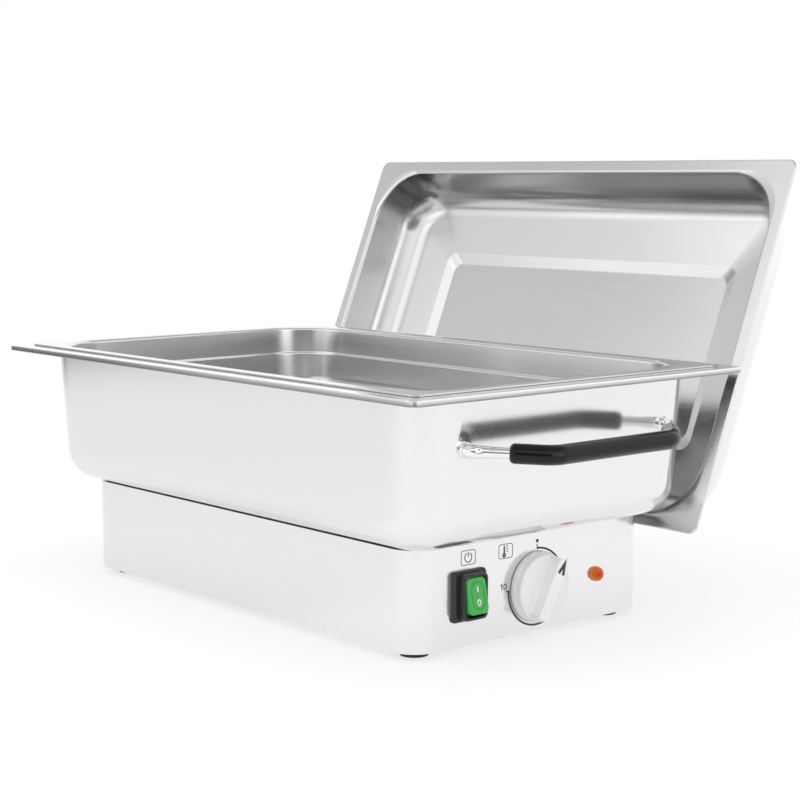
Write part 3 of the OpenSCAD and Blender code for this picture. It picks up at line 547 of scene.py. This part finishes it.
def lens(name, rim, inside_shade, centre, radius):
    """Clear moulding whose colour darkens towards a middle behind its face, as painted shade of the lamp's dim
    inside seen through it.
    """
    finish = Finish(name)
    shade_share = 0.15
    away = finish.node("ShaderNodeVectorMath", {0: finish.where(), 1: centre},
                       operation="DISTANCE").outputs["Value"]
    reach = finish.remap(away, 0, 1, start=shade_share * radius, end=radius)
    ripple = finish.noise(scale=500)
    finish.set(Base_Color=finish.blend(reach, inside_shade, rim), Roughness=finish.remap(ripple, 0.08, 0.16),
               Specular_IOR_Level=0.25, Coat_Weight=0.1, Coat_Roughness=0.05,
               Normal=finish.bump(ripple, strength=0.1))
    return finish.material


def ink(name, colour):
    """Screen-printed ink with slightly uneven cover."""
    finish = Finish(name)
    cover = finish.noise(scale=1800)
    paler = tuple(min(1, channel + 0.02) for channel in colour)
    finish.set(Base_Color=finish.blend(cover, colour, paler), Roughness=finish.remap(cover, 0.35, 0.5))
    return finish.material


STEEL = (0.82, 0.82, 0.825)
# Steel of the pans' and lid's insides: its rougher grain is the brushed finish, its darker tint is painted shade
INNER_STEEL_SHADED = (0.68, 0.68, 0.685)
# Near-black steel painted as shade at the lip of the rim's face
RIM_SHADE_STEEL = (0.2, 0.2, 0.205)
# The lens's own amber, and a darker amber painted as shade towards its middle
AMBER = (0.86, 0.20, 0.008)
AMBER_SHADE = (0.45, 0.03, 0.004)
MATERIALS = {
    "stainless": brushed("polished_sheet", STEEL, rough=(0.13, 0.17), grain=0.02, wave=0.4, metal=0.9),
    # The rim's face: painted shade, from the steel to near black towards its lip
    "rim_face": painted_shade_edge("rim_face", STEEL, RIM_SHADE_STEEL, rough=(0.14, 0.18), low=RIM_TOP - RIM_FALL,
                       high=RIM_TOP - SHEET),
    # Brushed insides, tinted darker as painted shade
    "stainless_inner": brushed("brushed_sheet_painted_shade", INNER_STEEL_SHADED, rough=(0.20, 0.25), grain=0.03, wave=0.5,
                               metal=1.0),
    "chrome": plated("chrome", (0.88, 0.885, 0.89), rough=(0.04, 0.09), mottle=40),
    "grip_black": moulded("grip_black", (0.004, 0.004, 0.0045), rough=(0.07, 0.11), grain=0.01, scale=400,
                          specular=0.28),
    "case_black": moulded("case_black", (0.018, 0.018, 0.019), rough=(0.38, 0.5), grain=0.12),
    "knob_grey": moulded("knob_grey", (0.90, 0.90, 0.895), rough=(0.28, 0.36), grain=0.04, coat=0.1),
    "rocker_green": moulded("rocker_green", (0.035, 0.40, 0.06), rough=(0.2, 0.28), grain=0.04, coat=0.2),
    # Lamp lens with painted shade towards an off-centre middle
    "lens_amber": lens("lens_amber", AMBER, AMBER_SHADE, centre=on_panel(LAMP_YZ) @ (Vector(LAMP_SHADE_CENTRE) * MM),
                       radius=LAMP_SHADE_R * MM),
    "rubber": moulded("rubber", (0.02, 0.02, 0.021), rough=(0.6, 0.75), grain=0.2),
    "zinc_steel": plated("zinc_steel", (0.66, 0.67, 0.69), rough=(0.25, 0.4)),
    "aluminium": plated("aluminium", (0.78, 0.78, 0.79), rough=(0.3, 0.45), mottle=30),
    "element_sheath": plated("element_sheath", (0.22, 0.22, 0.23), rough=(0.4, 0.6), mottle=50),
    "glass_wool": fibrous("glass_wool", (0.75, 0.71, 0.62)),
    "copper": plated("copper", (0.72, 0.42, 0.26), rough=(0.2, 0.35)),
    "brass": plated("brass", (0.74, 0.59, 0.28), rough=(0.2, 0.3)),
    "terminal_white": moulded("terminal_white", (0.80, 0.79, 0.76), rough=(0.35, 0.45), grain=0.05),
    "ink_black": ink("ink_black", (0.02, 0.02, 0.02)),
    "ink_white": ink("ink_white", (0.9, 0.92, 0.9)),
}
# The record's slot of each finish; printed marks have none
SLOTS = {part["slot"]: part["slot"] for part in frame["record"]["materials"]}
SLOTS["stainless_inner"] = "stainless"


def dress_frame():
    """Gives every node of the frame its slot's finish."""
    for part in frame["record"]["subparts"]:
        mesh = frame["nodes"][part["node"]].data
        mesh.materials.clear()
        mesh.materials.append(MATERIALS[part["material_slot"]])


# Pressed shells

def slant(degrees):
    """Tangent of an angle: how far a wall leans, or a band rises, for each millimetre."""
    return math.tan(math.radians(degrees))


def corner_rule(wall_in, wall_corner, least=LEAST_CORNER):
    """Corner radius of a ring at an inset: tight at the flange's edge, wide at the wall, less within it."""
    def corner(inset):
        if inset <= SQUARE_IN:
            return max(LEAST_EDGE_CORNER, FLANGE_CORNER - inset)
        if inset <= wall_in:
            share = (inset - SQUARE_IN) / (wall_in - SQUARE_IN)
            start = FLANGE_CORNER - SQUARE_IN
            return start + share * (wall_corner - start)
        return max(least, wall_corner - (inset - wall_in))
    return corner


def pressed(name, length, width, section, corner, body, finish, replaces, place=Matrix(), back=None):
    """Sheet pressed to a section of (inset, height, rounding) corners, from its middle to its edge."""
    rings = [ring(length / 2 - p.x, width / 2 - p.x, corner(p.x), p.y)
             for p in rounded_path(section, SECTION_STEP)]
    return piece(name, loft(rings, last_cap=False), body, finish, place, replaces, sheet=SHEET, back=back)


def turned_edge(height, fall, rounding, down):
    """Section corners of a flange's edge, turned over by a fall and tucked in; down is -1 or 1."""
    low = height + down * (fall - SHEET)
    return [(HALF, height, rounding), (HALF, low, TUCK_R), (HALF + TUCK_R + TUCK_IN, low, 0)]


def water_pan():
    """Deep pan with a wide rim, whose turned-down face has a finish of its own, painted darker towards its lip as
    shade.
    """
    top = RIM_TOP - HALF
    low = PAN_BOTTOM + HALF
    wall = RIM_FLAT + HALF
    foot = wall + (top - low) * slant(PAN_DRAFT)
    section = [(foot + PAN_BEND + FLOOR_RING, low, 0), (foot, low, PAN_BEND), (wall, top, EDGE_R),
               *turned_edge(top, RIM_FALL, RIM_ROUND, -1)]
    pan = pressed("water_pan_sheet", RIM_L, RIM_W, section, corner_rule(RIM_FLAT, PAN_CORNER), "base",
                  "stainless", ["water_pan"])
    pan.data.materials.append(MATERIALS["rim_face"])
    # Faces of the rim's turned-down face take the finish with painted shade
    for face in pan.data.polygons:
        place = face.center / MM
        outer = abs(place.x) > RIM_L / 2 - RIM_EDGE or abs(place.y) > RIM_W / 2 - RIM_EDGE
        if outer and place.z < RIM_TOP - RIM_ROUND:
            face.material_index = 1


def food_pan():
    """Shallow pan with a shoulder round its wall and a thin hem that rests on the rim."""
    lean = slant(PAN_DRAFT)
    top = FOOD_TOP - HALF
    low = FOOD_BOTTOM + HALF
    wall = FLANGE + HALF
    shoulder = top - SHOULDER_DROP
    upper = wall + SHOULDER_DROP * lean
    lower = upper + SHOULDER_IN
    foot = lower + (shoulder - SHOULDER_H - low) * lean
    section = [(foot + FOOD_BEND + FLOOR_RING, low, 0), (foot, low, FOOD_BEND),
               (lower, shoulder - SHOULDER_H, SHOULDER_R), (upper, shoulder, SHOULDER_R),
               (wall, top, EDGE_R), (HALF, top, FOOD_EDGE_R), (HALF, RIM_TOP + REST_GAP, 0)]
    # The whole food pan takes the brushed finish, tinted darker as painted shade
    pressed("food_pan_sheet", FOOD_L, FOOD_W, section, corner_rule(FLANGE, FOOD_CORNER), "food_pan",
            "stainless_inner", ["food_pan"])


def lid_shell():
    """Lid with a drawn wall, a sloped band and a raised panel, polished outside and brushed inside, its inside
    tinted darker as painted shade.
    """
    wall = FLANGE + HALF
    low = HALF
    top = LID_TOP - HALF
    panel_edge = FLANGE + PANEL_IN
    slope = slant(BAND_SLOPE)
    lean = slant(LID_DRAFT)
    edge_h = top - BEVEL_H
    # Where the slope of the band meets the lean of the wall
    corner_h = (edge_h - (panel_edge - wall + low * lean) * slope) / (1 - lean * slope)
    corner_in = wall + (corner_h - low) * lean
    section = [(panel_edge + BEVEL_IN + PANEL_RING, top, 0), (panel_edge + BEVEL_IN, top, BEVEL_TOP_R),
               (panel_edge, edge_h, BEVEL_FOOT_R), (corner_in, corner_h, LID_BEND), (wall, low, EDGE_R),
               *turned_edge(low, LID_HEM_FALL, LID_HEM_ROUND, 1)]
    pressed("lid_sheet", FOOD_L, FOOD_W, section, corner_rule(FLANGE, LID_CORNER, LID_PANEL_CORNER), "lid",
            "stainless_inner", ["lid_shell"], LID_PLACE, "stainless")


# Handles, drawn with the wall at x = 0 and the grip standing out along +X

def arm_point(distance):
    """Point on the middle line of a handle's arm, at a distance from the elbow at the wall."""
    return Vector((ARM_X, HANDLE_SPAN / 2)) + ARM_WAY * distance


def handle_line(start):
    """Middle line of a handle's bent rod, from a distance along one arm to the same on the other."""
    corner_y = HANDLE_SPAN / 2 - (HANDLE_REACH - ARM_X) * math.tan(ARM_ANGLE)
    first = arm_point(start)
    return rounded_path([(first.x, first.y, 0), (HANDLE_REACH, corner_y, HANDLE_BEND),
                         (HANDLE_REACH, -corner_y, HANDLE_BEND), (first.x, -first.y, 0)], ROD_STEP)


def with_ends(path, insets):
    """Adds points near both ends of a path, at the given distances."""
    into = (path[1] - path[0]).normalized()
    back = (path[-2] - path[-1]).normalized()
    return ([path[0]] + [path[0] + into * d for d in insets] + path[1:-1]
            + [path[-1] + back * d for d in reversed(insets)] + [path[-1]])


def grip(name, body, node, place):
    """Glossy sleeve with rounded ends."""
    round_r = 4
    plain_from = 6
    insets = [round_r * (1 - math.cos(math.radians(a))) for a in (15, 30, 45, 60, 75, 90)]
    path = with_ends(handle_line(SLEEVE_START), insets + [plain_from])
    total = path_length(path)

    def radius(length, angle):
        near = min(length, total - length)
        if near >= round_r:
            return GRIP_R
        return GRIP_R - round_r + math.sqrt(round_r ** 2 - (round_r - near) ** 2)
    piece(name, tube(path, radius), body, "grip_black", place, [node], sharp=HANDLE_SHARP)


def lug(name, body, side, place, node):
    """Cast lug: a round foot on the wall, an elbow, and the dimpled arm round the end of the rod."""
    foot_r, foot_t, foot_edge_r = 6.2, 2.2, 0.8
    foot_sink = 0.3
    elbow_r = 8
    neck_r, end_r, waist = 5.6, 4.1, 0.4
    # Each dimple's place along the arm, in millimetres, and round it, in degrees up from its outer side
    dimples = ((12, 20), (21, 70))
    dimple_r, dimple_depth = 1.8, 0.9
    ring_step = 0.4
    tip = HANDLE_SPAN / 2
    end = arm_point(SLEEVE_START + SLEEVE_COVER)
    bent = rounded_path([(-foot_sink, tip, 0), (ARM_X, tip, elbow_r), (end.x, end.y, 0)], ROD_STEP)
    path = even_path(bent, ring_step)
    total = path_length(path)

    def radius(length, angle):
        if length < foot_t:
            over = max(0, length - foot_t + foot_edge_r)
            return foot_r - foot_edge_r + math.sqrt(foot_edge_r ** 2 - over ** 2)
        share = (length - foot_t) / (total - foot_t)
        r = neck_r + (end_r - neck_r) * share - waist * math.sin(math.pi * share)
        for at, up in dimples:
            away = math.hypot((length - at) / dimple_r, (angle - math.radians(up)) * r / dimple_r)
            r -= dimple_depth * math.exp(-away * away)
        return r
    mirror = Matrix.Diagonal((1, side, 1, 1))
    piece(name + "_lug", tube(path, radius), body, "chrome", place @ mirror, [node], sharp=HANDLE_SHARP)


def handles():
    """Both side handles on the pan's end walls, and the lid's handle on its panel."""
    wall_x = RIM_L / 2 - RIM_FLAT - (RIM_TOP - HANDLE_Z) * slant(PAN_DRAFT)
    right = shifted(wall_x, 0, HANDLE_Z) @ turned(PAN_DRAFT, "Y")
    left = turned(180, "Z") @ right
    top = LID_PLACE @ shifted(0, 0, LID_TOP) @ turned(90, "Z") @ turned(-90, "Y")
    for name, body, place in (("right_handle", "base", right), ("left_handle", "base", left),
                              ("lid_handle", "lid", top)):
        grip(name + "_sleeve", body, name + "_grip", place)
        for end, side in (("near", -1), ("far", 1)):
            lug(name + "_" + end, body, side, place, name + "_lugs")


# Controls, drawn looking out of the panel

def knob():
    """Knob with a stepped skirt, a dished face and a bar across it."""
    bar_half_w, bar_half_l, bar_top = 5.5, 25.2, 20.45
    bar_corner, least_corner = 2.6, 0.6
    pointer_half, pointer_tail, pointer_tip, pointer_line = 2.7, 13.5, 22, 2.7
    place = on_panel(KNOB_YZ) @ turned(-KNOB_TURN, "Z")
    skirt = [(3, 2.6, 0), (25.9, 2.6, 0), (25.9, 0.7, 0), (28.4, 0.7, 0.5), (28.0, 4.4, 0.6),
             (27.4, 4.8, 0.4), (26.6, 9.6, 1.6), (25.1, 10.4, 0.6), (24.1, 9.7, 0.8), (8, 9.0, 6),
             (0.5, 9.0, 0)]
    piece("knob_skirt", lathe(skirt, sides=96), "knob", "knob_grey", place, ["thermostat_knob"])
    # The bar's section, as insets from its sides and heights; its ends come in by half as much
    section = [(-3.2, 8.6, 0), (-1.2, 11.2, 5), (0, 20.4, 1.3), (3, bar_top, 0)]
    rings = []
    for p in rounded_path(section, step=10):
        corner = max(least_corner, bar_corner - p.x / 2)
        rings.append(ring(bar_half_w - p.x, bar_half_l - max(0, p.x) / 2, corner, p.y))
    piece("knob_bar", loft(rings), "knob", "knob_grey", place)
    arrow = line_path((-pointer_half, pointer_tail), (0, pointer_tip), (pointer_half, pointer_tail))
    printed("knob_pointer", ribbon(arrow, pointer_line), "knob", "ink_black", place @ shifted(0, 0, bar_top),
            thick=0.12)


def switch_frame(place):
    """Frame of the switch: a bevelled flange, and a collar round the rocker's well."""
    half_x, half_y = 16.75, 19.5
    bevel_in, flange_h = 1, 3.9
    collar_in, collar_up, collar_h = 4.25, 1.75, 9.9
    well_in, well_floor = 6.35, 1.1
    flange_corner, collar_corner, corner_change = 2.2, 4.2, 2.5

    def inset_up(inset):
        """Inset from the frame's upper and lower edges where the one from its sides is given."""
        if inset <= bevel_in:
            return inset
        if inset <= collar_in:
            return bevel_in + (inset - bevel_in) * (collar_up - bevel_in) / (collar_in - bevel_in)
        return collar_up + inset - collar_in
    section = [(0, 0, 0), (0, 1.9, 0.5), (bevel_in, flange_h, 0.8), (collar_in, flange_h, 0),
               (collar_in, collar_h, 1.2), (well_in, collar_h, 0.6), (well_in, well_floor, 0),
               (well_in - 0.3, 0, 0)]
    rings = [ring(half_x - p.x, half_y - inset_up(p.x),
                  flange_corner if p.x < corner_change else collar_corner, p.y, steps=8)
             for p in rounded_path(section)]
    piece("switch_frame", loft(rings, closed=True), "base", "case_black", place, ["switch_bezel"])


def rocker(place):
    """Tilted cap with a groove round its middle, and its two marks."""
    half_x, half_y, depth = 9.9, 14.1, 8
    foot_h = 4
    side_corner, side_in = 4, 2
    groove_corner, corner_loss = 7, 0.3
    cap = place @ shifted(0, 0, foot_h) @ turned(-ROCKER_TILT, "X")
    section = [(0.4, 0, 0), (0, depth - 2.2, 0), (0, depth, 1.5), (3.0, depth - 0.1, 0.3),
               (3.4, depth - 0.8, 0.3), (4.0, depth - 0.8, 0.3), (4.5, depth - 0.1, 0.4),
               (7, depth + 0.15, 4), (9.5, depth + 0.2, 0)]
    rings = []
    for p in rounded_path(section):
        corner = side_corner if p.x < side_in else groove_corner - corner_loss * p.x
        rings.append(ring(half_x - p.x, half_y - p.x, min(half_x - p.x, corner), p.y, steps=10))
    piece("rocker_cap", loft(rings), "rocker", "rocker_green", cap, ["switch_rocker"])
    bar = ribbon(line_path((0, 2.8), (0, 7.0)), 1.0)
    oval = ribbon(oval_path(1.5, 2.1, 24, y=-5.2), 0.9, closed=True)
    for name, skin in (("rocker_on_mark", bar), ("rocker_off_mark", oval)):
        printed(name, skin, "rocker", "ink_white", cap @ shifted(0, 0, depth + 0.22))


def rocker_switch():
    """Switch: its frame and its rocker."""
    place = on_panel(SWITCH_YZ)
    switch_frame(place)
    rocker(place)


def lamp():
    """Domed lens on a flange."""
    shape = [(0.4, -0.5, 0), (6.1, -0.5, 0.2), (6.1, 1.5, 0.7), (5.6, 1.5, 0.3), (5.3, 4.2, 2.4),
             (3.2, 6.0, 4), (0.4, 6.05, 0)]
    piece("lamp_lens", lathe(shape, sides=48), "base", "lens_amber", on_panel(LAMP_YZ), ["indicator_lens"])


# Prints on the panel

def mark(name, skin, place):
    """Black print on the panel."""
    printed(name, skin, "base", "ink_black", on_panel(place))


def power_sign():
    """Sign over the switch: a broken ring with a stroke, in a box."""
    ring_r, ring_gap, line = 3.6, 28, 0.8
    mark("power_sign_box", ribbon(box_path(*SIGN_BOX), SIGN_LINE, closed=True), POWER_SIGN_YZ)
    mark("power_sign_ring", ribbon(arc_path(ring_r, ring_gap, 360 - ring_gap, 28), line), POWER_SIGN_YZ)
    mark("power_sign_stroke", ribbon(line_path((0, 0.4), (0, 4.4)), line), POWER_SIGN_YZ)


def heat_sign():
    """Sign beside the knob: a thermometer with ticks, in a box."""
    stem_x, stem_low, stem_high, stem_line = -1.6, -1.6, 4.2, 1.5
    bulb_y, bulb_r, bulb_line = -3, 1.2, 1.4
    tick_start, tick_end, tick_low, tick_step = 0.6, 2.6, -0.6, 1.6
    mark("heat_sign_box", ribbon(box_path(*SIGN_BOX), SIGN_LINE, closed=True), HEAT_SIGN_YZ)
    stem = line_path((stem_x, stem_low), (stem_x, stem_high))
    mark("heat_sign_stem", ribbon(stem, stem_line), HEAT_SIGN_YZ)
    bulb = oval_path(bulb_r, bulb_r, 20, stem_x, bulb_y)
    mark("heat_sign_bulb", ribbon(bulb, bulb_line, closed=True), HEAT_SIGN_YZ)
    for k in range(4):
        y = tick_low + tick_step * k
        tick = line_path((tick_start, y), (tick_end, y))
        mark("heat_sign_tick_%d" % (k + 1), ribbon(tick, SIGN_LINE), HEAT_SIGN_YZ)


def dial():
    """Arc round the knob, from its off dot to its highest number."""
    arc_line, end_line, number_line = 1.6, 0.9, 0.8
    dot_r, dot_line = 0.8, 1.4
    mark("dial_arc", ribbon(arc_path(DIAL_R, 0, DIAL_SWEEP, 90), arc_line), KNOB_YZ)
    mark("dial_start", ribbon(line_path((0.5, DIAL_R - 0.8), (0.5, DIAL_R + 3.2)), end_line), KNOB_YZ)
    dot = oval_path(dot_r, dot_r, 16, 0.7, DIAL_R + 5.8)
    mark("dial_off_dot", ribbon(dot, dot_line, closed=True), KNOB_YZ)
    mark("dial_end", ribbon(line_path((-DIAL_R - 2.6, 0.5), (-DIAL_R, 0.5)), end_line), KNOB_YZ)
    one = line_path((-38.6, 5.6), (-37.2, 6.8), (-37.2, 2.2))
    mark("dial_number_one", ribbon(one, number_line), KNOB_YZ)
    zero = oval_path(1.5, 2.1, 24, -33.8, 4.5)
    mark("dial_number_zero", ribbon(zero, number_line, closed=True), KNOB_YZ)


# Studio

def studio_world():
    """White to the camera. The steel mirrors a dark flag and an onlooker, a softer side and a darker top."""
    world = bpy.data.worlds.new("studio")
    bpy.context.scene.world = world
    world.use_nodes = True
    world.node_tree.nodes.clear()
    nodes = Nodes(world.node_tree)
    direction = nodes.node("ShaderNodeTexCoord").outputs["Generated"]
    height = nodes.node("ShaderNodeSeparateXYZ", {0: direction}).outputs["Z"]

    def patch(azimuth, edge, foot=None, top=None):
        """Share of a patch round an azimuth, which fades out over its edge, its foot and its top."""
        share = nodes.smooth(nodes.towards(direction, azimuth), *edge)
        for fade in (foot, top):
            if fade:
                share = nodes.times(share, nodes.smooth(height, *fade))
        return share
    flag = patch(FLAG_AZIMUTH, FLAG_EDGE, top=(0.40, 0.22))
    onlooker = patch(ONLOOKER_AZIMUTH, edge=(0.82, 0.94), foot=(-0.14, -0.10), top=(0.42, 0.30))
    dark = nodes.greater(flag, onlooker)
    strip = patch(STRIP_AZIMUTH, edge=(0.90, 0.97), foot=(-0.03, 0.0), top=(0.2, 0.1))
    soft = nodes.times(patch(SIDE_AZIMUTH, edge=(0.3, 0.8)), nodes.remap(height, 0, 1, start=0.16, end=0.55))
    above = nodes.smooth(height, 0.62, 0.85)
    rays = nodes.node("ShaderNodeLightPath")
    mirrored = rays.outputs["Is Glossy Ray"]
    level = nodes.lessen(1.0, mirrored, -0.2)
    for share, loss in ((strip, -0.4), (dark, 0.95), (soft, 0.6), (above, 0.7)):
        level = nodes.lessen(level, nodes.times(mirrored, share), loss)
    strength = nodes.greater(rays.outputs["Is Camera Ray"], level)
    light = nodes.node("ShaderNodeBackground", {"Color": (1, 1, 1, 1), "Strength": strength})
    nodes.node("ShaderNodeOutputWorld", {"Surface": light.outputs[0]})


def floor():
    """Pale floor that keeps the object's shadow and fades to plain white around it."""
    mesh = bpy.data.meshes.new("floor")
    disc = circle(FLOOR_R, 0, sides=128)
    mesh.from_pydata([Vector(point) * MM for point in disc], [], [tuple(range(len(disc)))])
    obj = add_object("floor", mesh)
    finish = Finish("floor")
    finish.set(Base_Color=(0.92, 0.92, 0.92, 1), Roughness=0.9, Specular_IOR_Level=0.0)
    where = finish.where()
    away = finish.node("ShaderNodeVectorMath", {0: where}, operation="LENGTH").outputs["Value"]
    outward = finish.node("ShaderNodeVectorMath", {0: where}, operation="NORMALIZE").outputs["Vector"]
    rays = finish.node("ShaderNodeLightPath")
    mirrored = finish.greater(rays.outputs["Is Glossy Ray"], rays.outputs["Is Transmission Ray"])
    seen = finish.greater(rays.outputs["Is Camera Ray"], mirrored)
    white_share = finish.times(seen, finish.remap(away, 0.7, 1, start=0.3, end=0.75))
    # Mirrored in the steel, the floor darkens far out, most of all under the flag and the onlooker
    flag = finish.smooth(finish.towards(outward, FLAG_AZIMUTH), *FLAG_EDGE)
    onlooker = finish.smooth(finish.towards(outward, ONLOOKER_AZIMUTH), 0.97, 0.995)
    front = finish.smooth(finish.towards(outward, FRONT_AZIMUTH), 0.2, 0.9)
    dark = finish.greater(finish.greater(flag, onlooker), finish.remap(front, 0, 0.48, start=0, end=1))
    far_dark = finish.times(dark, finish.smooth(away, 1.2, 1.8))
    level = finish.lessen(1.0, mirrored, -0.1)
    for share, loss in ((front, 0.12), (far_dark, 0.85)):
        level = finish.lessen(level, finish.times(mirrored, share), loss)
    white = finish.node("ShaderNodeEmission", {"Color": (1, 1, 1, 1), "Strength": level}).outputs[0]
    mix = finish.node("ShaderNodeMixShader", {0: white_share, 1: finish.shader.outputs[0], 2: white})
    finish.tree.links.new(mix.outputs[0], finish.tree.nodes["Material Output"].inputs["Surface"])
    mesh.materials.append(finish.material)


def soft_box(name, at, size, power, lights=True, glints=True):
    """Square soft light at a place in metres; it may light surfaces, glint in gloss, or both."""
    light = bpy.data.lights.new(name, "AREA")
    light.shape = "SQUARE"
    light.size = size
    light.energy = power
    obj = add_object(name, light)
    obj.location = at
    aim = Vector(LAMP_AIM) - Vector(at)
    obj.rotation_euler = aim.to_track_quat("-Z", "Y").to_euler()
    obj.visible_diffuse = lights
    obj.visible_glossy = glints


def lamps():
    """Large soft boxes: over the dish, high on the camera's left, and a low glint on its right."""
    soft_box("soft_box_top", (0.2, -0.2, 2.2), size=1.6, power=12, glints=False)
    soft_box("soft_box_left", (-0.9, -1.9, 1.9), size=1.8, power=7)
    soft_box("soft_box_right", (2.4, 0.1, 0.45), size=1.5, power=5, lights=False)


def camera():
    """Camera at the photograph's viewing angle."""
    data = bpy.data.cameras.new("camera")
    data.lens = CAMERA_LENS
    data.sensor_width = CAMERA_SENSOR
    obj = add_object("camera", data)
    obj.location = CAMERA_AT
    obj.rotation_euler = [math.radians(angle) for angle in CAMERA_TURN]
    bpy.context.scene.camera = obj


bpy.context.scene.view_settings.view_transform = "Standard"
dress_frame()
water_pan()
food_pan()
lid_shell()
handles()
knob()
rocker_switch()
lamp()
power_sign()
heat_sign()
dial()
studio_world()
floor()
lamps()
camera()
